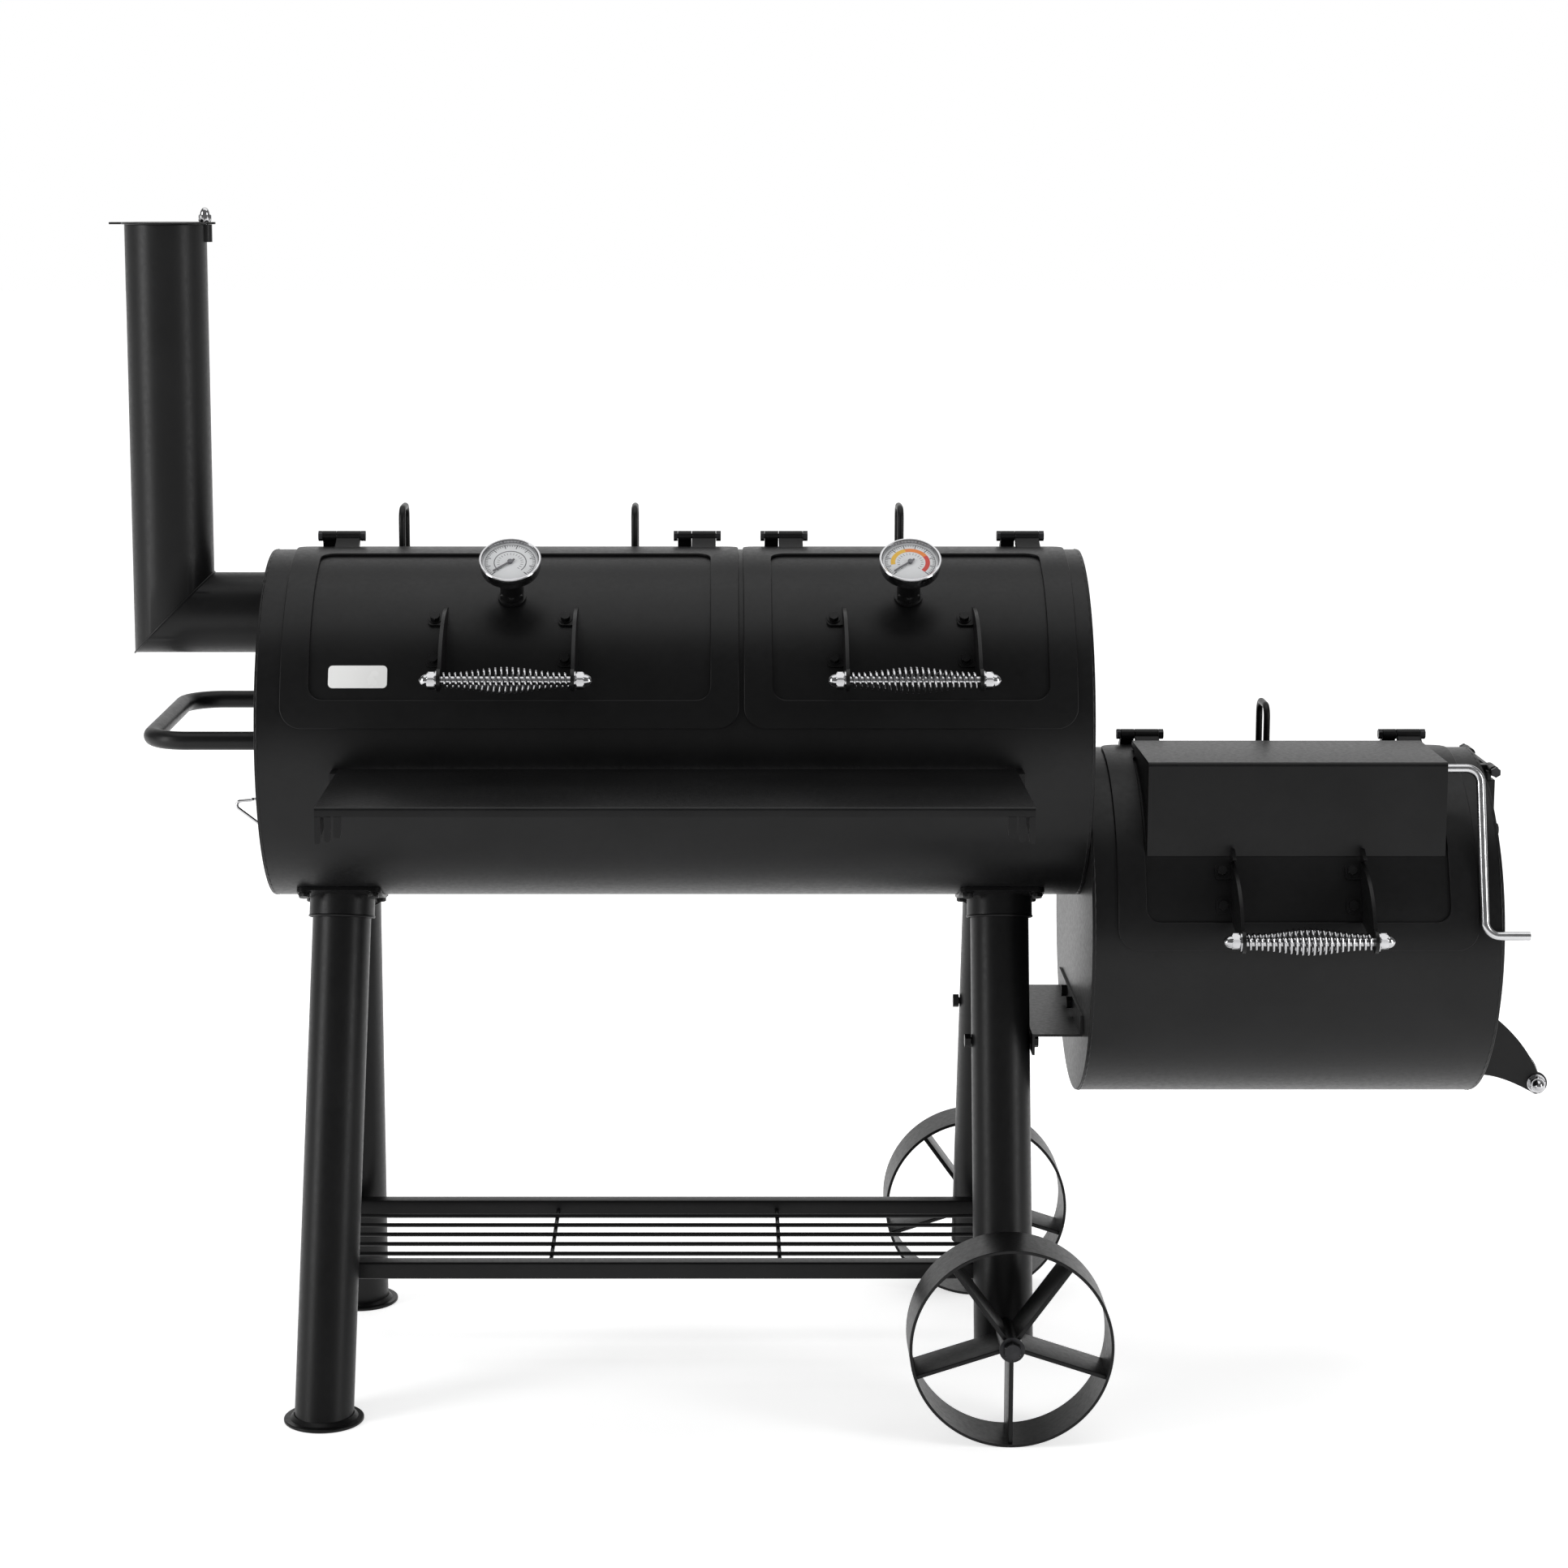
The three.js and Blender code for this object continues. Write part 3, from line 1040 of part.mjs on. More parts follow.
// ---- origin -------------------------------------------------------------------------------------

const bounds = new THREE.Box3().setFromObject(smoker);
smoker.position.set(-(bounds.min.x + bounds.max.x) / 2, -(bounds.min.y + bounds.max.y) / 2, -bounds.min.z);

export default smoker;
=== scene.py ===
"""Looks of the offset smoker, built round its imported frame.

Shapes are written in the maker's own drawing frame, in millimetres: X along the barrels from their
middle, Y back from their axis plane, Z up from the ground. placed() turns them into the row frame.
Every curved piece is a surface of two parameters, worked out as whole arrays.
"""
import json
import math

import bpy
import numpy as np
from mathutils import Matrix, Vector


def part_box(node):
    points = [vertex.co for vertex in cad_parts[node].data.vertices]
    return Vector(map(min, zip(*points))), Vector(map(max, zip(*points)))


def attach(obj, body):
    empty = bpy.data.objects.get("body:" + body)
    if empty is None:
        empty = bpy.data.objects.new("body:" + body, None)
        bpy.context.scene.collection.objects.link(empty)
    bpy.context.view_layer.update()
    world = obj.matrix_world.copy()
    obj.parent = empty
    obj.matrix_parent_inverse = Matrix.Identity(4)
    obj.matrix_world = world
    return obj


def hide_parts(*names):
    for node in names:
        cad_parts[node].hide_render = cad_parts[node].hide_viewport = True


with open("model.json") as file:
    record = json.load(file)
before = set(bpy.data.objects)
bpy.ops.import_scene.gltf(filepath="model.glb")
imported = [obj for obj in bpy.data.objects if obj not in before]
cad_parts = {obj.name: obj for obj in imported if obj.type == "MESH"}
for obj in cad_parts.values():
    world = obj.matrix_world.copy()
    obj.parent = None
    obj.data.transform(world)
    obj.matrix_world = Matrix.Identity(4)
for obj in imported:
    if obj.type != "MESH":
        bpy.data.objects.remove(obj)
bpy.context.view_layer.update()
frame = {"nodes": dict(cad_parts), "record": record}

NODES = frame["nodes"]

# ---- sizes, in millimetres and degrees ----------------------------------------------------------

R = 203.0                    # barrels, outside
WALL = 3.0
CHAMBER_Z, FIREBOX_Z = 780.0, 544.0
CHAMBER_X = (-471.0, 471.0)
FIREBOX_X = (471.3, 936.3)
BAND = (203.3, 206.3)        # lid frame, inside and outside radius
LID_TOP = 96.0               # a lid's back edge, degrees up from the front
BAND_WIDTH, BAND_TOP = 32.0, 57.0
HINGE_Y, HINGE_RISE = 26.0, 217.0   # hinge axis, from the barrel's axis
HINGE_INSET = 26.0           # from a lid's end to its hinge
KNUCKLE, PIN = 6.0, 3.0      # sleeve and pin, radius
FIXED_SLEEVE, SLEEVE_GAP, MOVING_SLEEVE = 16.0, 0.5, 28.0
STACK_X, STACK_Z, STACK_R, STACK_TOP = -588.0, 910.0, 47.0, 1360.0
STACK_BORE = 44.5
PIVOT_X, PIVOT_R = -542.3, 4.3   # bolt that the stack's lid swivels on
PASSAGE_HALF = (95.0, 48.0)  # opening between the barrels, half its width and height
LEG_R, FOOT_Y = 34.0, 210.0
LEFT_LEG_END, RIGHT_LEG_END = 3.0, 88.0
LEG_TILT = math.atan2(FOOT_Y, CHAMBER_Z)
AXLE_X, WHEEL_R = 378.0, 115.0
GRIP_HALF = 73.5             # from a grip's middle to its brackets
GRIP_R = 273.0               # a lid's grip, from the barrel's axis
DIAL_TILT = 53.0             # degrees up from the front
SHELF_X = (-375.0, 381.0)
SHELF_Y = (-450.0, -214.0)
SHELF_Z = 761.0
DOOR_X = (936.6, 939.6)
DOOR_R, DAMPER_R, VENT_R = 186.0, 58.0, 46.0
DOOR_PIN_X, DOOR_PIN_Z, DOOR_PIN_BORE = 947.3, 734.0, 3.3
VENTS = ((10, 80), (190, 260))   # the two windows, degrees up from the front
TIP_R = 13.0                 # round tip of a grip's bracket
AXIS_X, AXIS_Y, AXIS_Z = (1, 0, 0), (0, 1, 0), (0, 0, 1)

# low: a lid's front edge; horn: upper and lower end of a bracket's foot, and its tip. All are
# degrees up from the front.
LIDS = {
    "left_lid": dict(x=(-442.0, 72.0), z=CHAMBER_Z, low=6.8, horn=(49.0, 22.0, 18.6)),
    "right_lid": dict(x=(77.5, 451.5), z=CHAMBER_Z, low=6.8, horn=(49.0, 22.0, 18.6)),
    "firebox_lid": dict(x=(500.3, 907.3), z=FIREBOX_Z, low=1.9, horn=(31.2, 11.0, 6.8)),
}
for lid in LIDS.values():
    lid["middle"] = sum(lid["x"]) / 2
    lid["hinges"] = (lid["x"][0] + HINGE_INSET,
                     lid["x"][1] - HINGE_INSET - (FIXED_SLEEVE + SLEEVE_GAP + MOVING_SLEEVE))


def middle_of(node, axis):
    """Middle of a CAD node along one axis, in metres."""
    low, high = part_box(node)
    return (low[axis] + high[axis]) / 2


ORIGIN = np.array([middle_of("chamber_shell", 0), middle_of("axle", 1), 0.0])


def placed(points):
    """Drawing millimetres to row metres."""
    return np.asarray(points, float) * 0.001 + ORIGIN


def drawn_box(node):
    """Lowest and highest corner of a CAD node in drawing millimetres."""
    return [(np.array(corner) - ORIGIN) * 1000 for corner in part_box(node)]


# ---- finishes -----------------------------------------------------------------------------------

def node_of(tree, kind, **values):
    """A new node with its sockets or settings filled in by name."""
    node = tree.nodes.new(kind)
    for key, value in values.items():
        if key in node.inputs:
            node.inputs[key].default_value = value
        else:
            setattr(node, key, value)
    return node


def spanned(tree, value, source, target, smooth=False):
    """A value carried from one span of numbers to another, straight or by a smooth step."""
    node = node_of(tree, "ShaderNodeMapRange",
                   interpolation_type="SMOOTHSTEP" if smooth else "LINEAR")
    for key, number in zip(("From Min", "From Max", "To Min", "To Max"), (*source, *target)):
        node.inputs[key].default_value = number
    tree.links.new(value, node.inputs["Value"])
    return node.outputs["Result"]


def finish(name, colour, other, metal, rough, grain, depth, cloud=9.0, specular=0.5):
    """A finish: cloudy colour between two tones, roughness between two values on a middle-sized
    noise, and a fine grain as bump. All three are noises on the piece's own coordinates."""
    material = bpy.data.materials.new(name)
    material.use_nodes = True
    tree = material.node_tree
    shader = tree.nodes["Principled BSDF"]
    shader.inputs["Metallic"].default_value = metal
    shader.inputs["Specular IOR Level"].default_value = specular
    place = node_of(tree, "ShaderNodeTexCoord")

    def noise(scale, detail):
        """Noise with this many waves to the metre."""
        node = node_of(tree, "ShaderNodeTexNoise", Scale=scale, Detail=detail, Roughness=0.6)
        tree.links.new(place.outputs["Object"], node.inputs["Vector"])
        return node.outputs["Fac"]

    tone = node_of(tree, "ShaderNodeValToRGB")
    for stop, where, shade in zip(tone.color_ramp.elements, (0.35, 0.65), (colour, other)):
        stop.position = where
        stop.color = (*shade, 1)
    tree.links.new(noise(cloud, 3.0), tone.inputs["Fac"])
    tree.links.new(tone.outputs["Color"], shader.inputs["Base Color"])
    tree.links.new(spanned(tree, noise(grain * 0.12, 2.0), (0.3, 0.7), rough),
                   shader.inputs["Roughness"])
    bump = node_of(tree, "ShaderNodeBump", Strength=0.35, Distance=depth)
    tree.links.new(noise(grain, 2.0), bump.inputs["Height"])
    tree.links.new(bump.outputs["Normal"], shader.inputs["Normal"])
    return material


COAT = finish("black_powder_coat", (0.0038, 0.0038, 0.004), (0.0062, 0.0062, 0.0065), 0.0,
              (0.33, 0.42), 1500, 0.00008, specular=0.21)
COAT_DULL = finish("black_coat_inside", (0.010, 0.010, 0.010), (0.018, 0.017, 0.016), 0.0,
                   (0.55, 0.7), 900, 0.00012, specular=0.35)
CHROME = finish("chrome_plate", (0.50, 0.50, 0.51), (0.43, 0.43, 0.44), 1.0, (0.07, 0.14), 700,
                0.00002)
STAINLESS = finish("polished_stainless", (0.55, 0.55, 0.56), (0.47, 0.47, 0.48), 1.0, (0.16, 0.28),
                   900, 0.00004)
ZINC = finish("black_zinc", (0.018, 0.018, 0.020), (0.034, 0.034, 0.036), 0.8, (0.3, 0.42), 900,
              0.00005, cloud=60)
IRON = finish("grate_steel", (0.16, 0.155, 0.15), (0.10, 0.098, 0.095), 0.85, (0.4, 0.55), 500,
              0.0001, cloud=40)
ENAMEL = finish("white_enamel", (0.92, 0.92, 0.91), (0.89, 0.89, 0.88), 0.0, (0.2, 0.3), 400,
                0.00002)
BEZEL = finish("polished_case", (0.50, 0.50, 0.51), (0.43, 0.43, 0.44), 1.0, (0.14, 0.24), 800,
               0.00002)
FACE = finish("dial_face", (0.66, 0.67, 0.68), (0.61, 0.62, 0.63), 0.0, (0.4, 0.5), 600, 0.00002)
INK = finish("dial_ink", (0.10, 0.10, 0.11), (0.14, 0.14, 0.15), 0.0, (0.4, 0.5), 600, 0.00001)
YELLOW = finish("dial_yellow", (0.72, 0.42, 0.03), (0.66, 0.38, 0.03), 0.0, (0.4, 0.5), 600,
                0.00001)
ORANGE = finish("dial_orange", (0.72, 0.20, 0.02), (0.66, 0.18, 0.02), 0.0, (0.4, 0.5), 600,
                0.00001)
RED = finish("dial_red", (0.55, 0.03, 0.02), (0.50, 0.03, 0.02), 0.0, (0.4, 0.5), 600, 0.00001)

# ---- surfaces -----------------------------------------------------------------------------------


def patch(P, wrap_u=False, wrap_v=False, cap_u=False, cap_v=False):
    """Quads between neighbouring points of a grid P[u, v]; a wrapped way joins its ends, and a
    capped way closes them with one flat face each."""
    nu, nv = P.shape[:2]
    index = np.arange(nu * nv).reshape(nu, nv)
    around = np.vstack([index, index[:1]]) if wrap_u else index
    around = np.hstack([around, around[:, :1]]) if wrap_v else around
    faces = [np.stack([around[:-1, :-1], around[1:, :-1], around[1:, 1:], around[:-1, 1:]],
                      -1).reshape(-1, 4)]
    if cap_u:
        faces += [index[:1, :], index[-1:, ::-1]]
    if cap_v:
        faces += [index[:, 0][None, ::-1], index[:, -1][None]]
    return outward(P.reshape(-1, 3), faces)


def outward(V, faces):
    """Turns a closed solid's faces over if its signed volume, the sum of a . (b x c) / 6 over the
    fan of every face, is negative."""
    V = np.asarray(V, float)
    V0 = V - V.mean(0)
    volume = 0.0
    for F in faces:
        a = V0[F[:, 0]][:, None]
        b, c = V0[F[:, 1:-1]], V0[F[:, 2:]]
        volume += (a * np.cross(b, c)).sum()
    return V, [F[:, ::-1] if volume < 0 else F for F in faces]


def piece(name, solids, material, body, hides=(), bevel=0.0):
    """One mesh object from several solids, in the row frame, riding on a body. Edges sharper than
    38 degrees shade as edges, and those sharper than 50 may be bevelled."""
    verts, faces, start = [], [], 0
    for V, groups in solids:
        verts.append(placed(V))
        for F in groups:
            faces += (F + start).tolist()
        start += len(V)
    mesh = bpy.data.meshes.new(name)
    mesh.from_pydata(np.vstack(verts).tolist(), [], faces)
    mesh.polygons.foreach_set("use_smooth", np.ones(len(mesh.polygons), bool))
    mesh.materials.append(material)
    mesh.update()
    mesh.set_sharp_from_angle(angle=math.radians(38))
    thing = bpy.data.objects.new(name, mesh)
    bpy.context.scene.collection.objects.link(thing)
    if bevel:
        edge = thing.modifiers.new("edges", "BEVEL")
        edge.width = bevel * 0.001
        edge.segments = 2
        edge.limit_method = "ANGLE"
        edge.angle_limit = math.radians(50)
        edge.use_clamp_overlap = True
    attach(thing, body)
    if hides:
        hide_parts(*hides)


def coated(name, solids, body, hides=(), bevel=0.0):
    """A piece in the black coat."""
    piece(name, solids, COAT, body, hides, bevel)


def unit(v):
    """The vector, or each vector of an array, divided by its length."""
    v = np.asarray(v, float)
    return v / np.linalg.norm(v, axis=-1, keepdims=True)


def sweep(path, side, radius, n=14):
    """A round rod: the circle radius (cos t N + sin t B) carried along the path, where N is the
    side direction made square to the path and B completes it."""
    path = np.asarray(path, float)
    T = unit(np.gradient(path, axis=0))
    side = np.broadcast_to(np.asarray(side, float), path.shape)
    N = unit(side - (side * T).sum(1)[:, None] * T)
    B = np.cross(T, N)
    t = np.linspace(0, 2 * np.pi, n, endpoint=False)
    radius = np.broadcast_to(np.asarray(radius, float), len(path))[:, None, None]
    ring = np.cos(t)[None, :, None] * N[:, None] + np.sin(t)[None, :, None] * B[:, None]
    return patch(path[:, None] + radius * ring, wrap_v=True, cap_u=True)


def bent(corners, bend, n=8):
    """A path through corners, each rounded by a circular arc of radius bend that leaves both sides
    at bend / tan(half the corner)."""
    P = np.asarray(corners, float)
    out = [P[:1]]
    for before, here, after in zip(P[:-2], P[1:-1], P[2:]):
        back, ahead = unit(before - here), unit(after - here)
        half = math.acos(np.clip(back @ ahead, -1, 1)) / 2
        centre = here + unit(back + ahead) * bend / math.sin(half)
        arm = here + back * bend / math.tan(half) - centre
        t = np.linspace(0, math.pi - 2 * half, n)[:, None]
        bow = centre + np.cos(t) * arm - np.sin(t) * back * bend
        out += [bow[:1] - 0.02 * (bow[1:2] - bow[:1]), bow,
                bow[-1:] + 0.02 * (bow[-1:] - bow[-2:-1])]
    out.append(P[-1:])
    return np.vstack(out)


def frame_of(axis):
    """Two directions square to an axis, and the axis."""
    d = unit(axis)
    helper = np.array([0, 0, 1.0]) if abs(d[2]) < 0.9 else np.array([1.0, 0, 0])
    e1 = unit(np.cross(helper, d))
    return e1, np.cross(d, e1), d


def turned(profile, at, axis, n=96, ring=False):
    """A profile of (radius, height) turned about an axis: at + r (cos t e1 + sin t e2) + h d. A
    ring profile closes on itself, any other is closed by its flat ends."""
    e1, e2, d = frame_of(axis)
    profile = np.asarray(profile, float)
    t = np.linspace(0, 2 * np.pi, n, endpoint=False)
    spoke = np.cos(t)[:, None] * e1 + np.sin(t)[:, None] * e2
    P = (np.asarray(at, float) + profile[None, :, :1] * spoke[:, None]
         + profile[None, :, 1:] * d)
    return patch(P, wrap_u=True, wrap_v=ring, cap_v=not ring)


def collar(inner, outer, span, at, axis, n):
    """A plain ring: the rectangle between two radii and two heights, turned about an axis."""
    low, high = span
    return turned([(inner, low), (outer, low), (outer, high), (inner, high)], at, axis, n,
                  ring=True)


def hexagon(at, axis, across, height, n=60):
    """A chamfered hexagon: at each height the radius is the smaller of the six-sided outline,
    a / cos(t - nearest flat), and the chamfer's cone."""
    e1, e2, d = frame_of(axis)
    t = np.linspace(0, 2 * np.pi, n, endpoint=False)
    flat = (across / 2) / np.cos((t + np.pi / 6) % (np.pi / 3) - np.pi / 6)
    level = np.array([0, 0.14, 0.86, 1.0]) * height
    cone = np.array([0.5, 0.6, 0.6, 0.5]) * across
    r = np.minimum(flat[:, None], cone[None])
    spoke = np.cos(t)[:, None] * e1 + np.sin(t)[:, None] * e2
    P = np.asarray(at, float) + r[..., None] * spoke[:, None] + level[None, :, None] * d
    return patch(P, wrap_u=True, cap_v=True)


def washer_bolt(foot, direction, radius, thick, across):
    """A washer, which is a flat disc, and a hexagon head standing on it."""
    washer = [(0.5, 0), (radius, 0), (radius, thick), (0.5, thick)]
    return [turned(washer, foot, direction, 32),
            hexagon(foot + direction * thick, direction, across, 5)]


def polar(radius, degrees):
    """A point on a barrel's section, by degrees up from the front: (-r cos a, r sin a) as (y, z)
    about the axis."""
    a = np.radians(degrees)
    return np.stack([-radius * np.cos(a), radius * np.sin(a)], -1)


def on_barrel(x, s, r, z):
    """Drawing point at x along a barrel and radius r, turned up from the front by s / R, where s is
    an arc length on the outside."""
    x, s = np.broadcast_arrays(np.asarray(x, float), np.asarray(s, float))
    yz = polar(r, np.degrees(s / R))
    return np.stack([x, yz[..., 0], yz[..., 1] + z], -1)


def arc(degrees):
    """Arc length of an angle on a barrel's outside."""
    return math.radians(degrees) * R


def outline(x0, x1, s0, s1, corner, n_corner=8, n_x=12, n_s=28):
    """Rounded rectangle as one closed loop of (x, s): four quarter circles and four sides."""
    t = np.linspace(0, np.pi / 2, n_corner)
    loop = []
    spots = [(x1 - corner, s1 - corner, 0), (x0 + corner, s1 - corner, 1),
             (x0 + corner, s0 + corner, 2), (x1 - corner, s0 + corner, 3)]
    for k, (cx, cs, quarter) in enumerate(spots):
        turn = t + quarter * np.pi / 2
        bow = np.stack([cx + corner * np.cos(turn), cs + corner * np.sin(turn)], -1)
        nx, ns, following = spots[(k + 1) % 4]
        angle = following * np.pi / 2
        first = np.array([nx + corner * math.cos(angle), ns + corner * math.sin(angle)])
        side = np.linspace(0, 1, (n_x if k % 2 == 0 else n_s) + 1)[1:-1, None]
        loop += [bow, bow[-1] + (first - bow[-1]) * side]
    return np.vstack(loop)


def barrel_band(outer, inner, r0, r1, z, rings=6):
    """A curved plate between two loops on a barrel: points run straight in (x, s) from the outer
    loop to the inner one at radius r1 and back at r0."""
    t = np.linspace(0, 1, rings)
    across = outer[:, None] + (inner - outer)[:, None] * t[None, :, None]
    top = on_barrel(across[..., 0], across[..., 1], r1, z)
    under = on_barrel(across[:, ::-1, 0], across[:, ::-1, 1], r0, z)
    return patch(np.concatenate([top, under], 1), wrap_u=True, wrap_v=True)


def barrel_plate(x0, x1, s0, s1, r0, r1, z, corner=0.01, n=40, m=24):
    """A curved plate: straight rows along X at each arc length s, each shortened at both ends by
    corner - sqrt(corner^2 - depth^2) where s is within a corner's reach of an edge."""
    bend = 0.5 - 0.5 * np.cos(np.linspace(0, np.pi, n))
    s = s0 + (s1 - s0) * bend
    reach = np.clip(corner - np.minimum(s - s0, s1 - s), 0, corner)
    inset = corner - np.sqrt(np.maximum(corner ** 2 - reach ** 2, 0))
    u = np.linspace(0, 1, m)[:, None]
    x = (x0 + inset)[None] + ((x1 - inset) - (x0 + inset))[None] * u
    top = on_barrel(x, np.broadcast_to(s, x.shape), r1, z)
    under = on_barrel(x, np.broadcast_to(s, x.shape), r0, z)
    V = np.concatenate([top.reshape(-1, 3), under.reshape(-1, 3)])
    index = np.arange(m * n).reshape(m, n)
    face = np.stack([index[:-1, :-1], index[1:, :-1], index[1:, 1:], index[:-1, 1:]],
                    -1).reshape(-1, 4)
    rim = np.concatenate([index[:, 0], index[-1, 1:], index[-2::-1, -1], index[0, -2:0:-1]])
    nxt = np.roll(rim, -1)
    wall = np.stack([rim, nxt, nxt + m * n, rim + m * n], -1)
    return outward(V, [face, face[:, ::-1] + m * n, wall[:, ::-1]])


def prism(outline_yz, x0, x1):
    """A flat outline in (y, z) carried along X and closed by its two ends."""
    P = np.asarray(outline_yz, float)
    ends = [np.column_stack([np.full(len(P), x), P]) for x in (x0, x1)]
    return patch(np.stack(ends, 1), wrap_u=True, cap_v=True)


def block(x, y, z):
    """A box between two x, two y and two z."""
    return prism([(y[0], z[0]), (y[1], z[0]), (y[1], z[1]), (y[0], z[1])], *x)


def ring_plate(outer, inner, x0, x1):
    """A flat plate square to X between two loops of (y, z)."""
    loops = [(outer, x0), (outer, x1), (inner, x1), (inner, x0)]
    P = np.stack([np.column_stack([np.full(len(loop), x), loop]) for loop, x in loops], 1)
    return patch(P, wrap_u=True, wrap_v=True)


def folded(path, x0, x1):
    """Sheet metal 2 mm thick: a path in (y, z) moved 1 mm to each side along its normal, the
    tangent turned a quarter, and carried along X."""
    T = unit(np.gradient(path, axis=0))
    N = np.column_stack([-T[:, 1], T[:, 0]])
    return prism(np.vstack([path + N, (path - N)[::-1]]), x0, x1)


def circle(radius, y, z, n=144):
    """(y + r cos t, z + r sin t) all the way round."""
    t = np.linspace(0, 2 * np.pi, n, endpoint=False)
    return np.column_stack([y + radius * np.cos(t), z + radius * np.sin(t)])


def toward(loop, y, z, half_y, half_z):
    """The loop's points pulled in to a rectangle about (y, z), each along its own direction d, by
    the smaller of half width / |dy| and half height / |dz|."""
    d = unit(loop - np.array([y, z]))
    reach = np.min(np.array([half_y, half_z]) / np.maximum(abs(d), 1e-6), 1)
    return np.array([y, z]) + d * reach[:, None]


def bezier(a, b, c, n):
    """(1 - t)^2 a + 2 t (1 - t) b + t^2 c for t from 0 to 1."""
    t = np.linspace(0, 1, n)[:, None]
    return (1 - t) ** 2 * np.asarray(a) + 2 * t * (1 - t) * np.asarray(b) + t ** 2 * np.asarray(c)


# ---- barrels ------------------------------------------------------------------------------------

def edge_walls(faces, shift):
    """Quads joining the open edges of a sheet, those that only one face has, to the same edges of
    its copy whose points come shift later."""
    edges = np.concatenate([faces[:, [k, (k + 1) % 4]] for k in range(4)])
    _, first, count = np.unique(np.sort(edges, 1), axis=0, return_index=True, return_counts=True)
    rim = edges[first[count == 1]]
    return np.column_stack([rim[:, 0], rim[:, 1], rim[:, 1] + shift, rim[:, 0] + shift])[:, ::-1]


def barrel_shell(x, z, windows):
    """Cylinder wall as two grids of (x, angle), at the outside and inside radius, whose cells
    inside a window are left out and whose open edges are joined; both grids have a line on every
    window edge."""
    xs = np.unique(np.concatenate([np.linspace(*x, 13), *[w[:2] for w in windows]]))
    edges = np.concatenate([w[2:] for w in windows])
    angles = np.unique(np.concatenate([np.arange(-180, 180, 2.5), edges]))
    nu, nv = len(xs), len(angles)
    V = np.concatenate([on_barrel(xs[:, None], (np.radians(angles) * R)[None], r, z).reshape(-1, 3)
                        for r in (R, R - WALL)])
    index = np.arange(nu * nv).reshape(nu, nv)
    around = np.hstack([index, index[:, :1]])
    quads = np.stack([around[:-1, :-1], around[1:, :-1], around[1:, 1:], around[:-1, 1:]], -1)
    mx = (xs[:-1] + xs[1:]) / 2
    ma = (angles + np.append(angles[1:], 180)) / 2
    keep = np.ones(quads.shape[:2], bool)
    for x0, x1, a0, a1 in windows:
        keep &= ~((mx > x0) & (mx < x1))[:, None] | ~((ma > a0) & (ma < a1))[None]
    front = quads[keep]
    V, faces = outward(V, [front, front[:, ::-1] + nu * nv, edge_walls(front, nu * nv)])
    used = np.unique(np.concatenate([F.ravel() for F in faces]))
    new = np.zeros(len(V), int)
    new[used] = np.arange(len(used))
    return V[used], [new[F] for F in faces]


def deg(s):
    """Angle of an arc length on a barrel's outside."""
    return math.degrees(s / R)


def window_of(lid):
    """Opening under a lid: its two x and two angles, inside the lid's edge by half its rim, less
    a lap of 1.5."""
    side = BAND_WIDTH / 2 - 1.5
    return (lid["x"][0] + side, lid["x"][1] - side, lid["low"] + deg(side),
            LID_TOP - deg(BAND_TOP - side))


def fixed_knuckle(x, z):
    """Sleeve of a hinge, a ring, and its foot, a flat outline bent from the sleeve down to the
    barrel and carried along X."""
    top = z + HINGE_RISE
    sleeve = collar(PIN + 0.3, KNUCKLE, (0, FIXED_SLEEVE), (x, HINGE_Y, top), AXIS_X, 32)
    foot = prism([(HINGE_Y + 1, top - 5.6), (HINGE_Y + 5, top - 3.2), (48, top - 14.5),
                  (43, top - 20), (HINGE_Y + 4, top - 15)], x, x + FIXED_SLEEVE)
    return [sleeve, foot]


def rest_loop(x, z):
    """Rod bent up, back and down behind a lid, which lies on it when it is open."""
    foot, top = z + R - 16, z + R + 43
    path = bent([(x, 52, foot), (x, 52, top), (x, 108, top), (x, 108, foot - 18)], 14)
    return sweep(path, AXIS_X, 4.0)


def ledges(x, z, drop):
    """Two strips that carry a grate, at the drop below the axis, where the inside wall is
    sqrt(r^2 - drop^2) away from the middle."""
    reach = math.sqrt((R - WALL) ** 2 - drop ** 2)
    level = z - drop
    return [block(x, y, (level - 4, level - 1))
            for y in ((reach - 14, reach + 1), (-reach - 1, 14 - reach))]


def gapped(x):
    """A barrel's wall between its two end caps, with a gap of 0.3 to each."""
    return (x[0] + WALL + 0.3, x[1] - WALL - 0.3)


shell_x = gapped(CHAMBER_X)
lid_windows = [window_of(LIDS[name]) for name in ("left_lid", "right_lid")]
chamber_skin = barrel_shell(shell_x, CHAMBER_Z, lid_windows)
coated("chamber_skin", [chamber_skin], "frame", ["chamber_shell"])
fittings = ledges(shell_x, CHAMBER_Z, 20)
for name in ("left_lid", "right_lid"):
    for x in LIDS[name]["hinges"]:
        fittings += fixed_knuckle(x, CHAMBER_Z)
SHELF_PIN = (-222, 750)
for x, inward in ((SHELF_X[0], 1), (SHELF_X[1], -1)):
    way = (inward, 0, 0)
    fittings.append(block(sorted((x - inward * 9, x - inward)), (-230, -200), (742, 758)))
    fittings.append(turned([(4, -4), (4, 7)], (x, *SHELF_PIN), way, 24))
    fittings.append(hexagon((x + inward * 4, *SHELF_PIN), way, 12, 4))
coated("chamber_fittings", fittings, "frame", bevel=0.5)
left_middle = LIDS["left_lid"]["middle"]
rest_x = (left_middle - 140, left_middle + 135, LIDS["right_lid"]["middle"])
coated("chamber_lid_rests", [rest_loop(x, CHAMBER_Z) for x in rest_x], "frame")

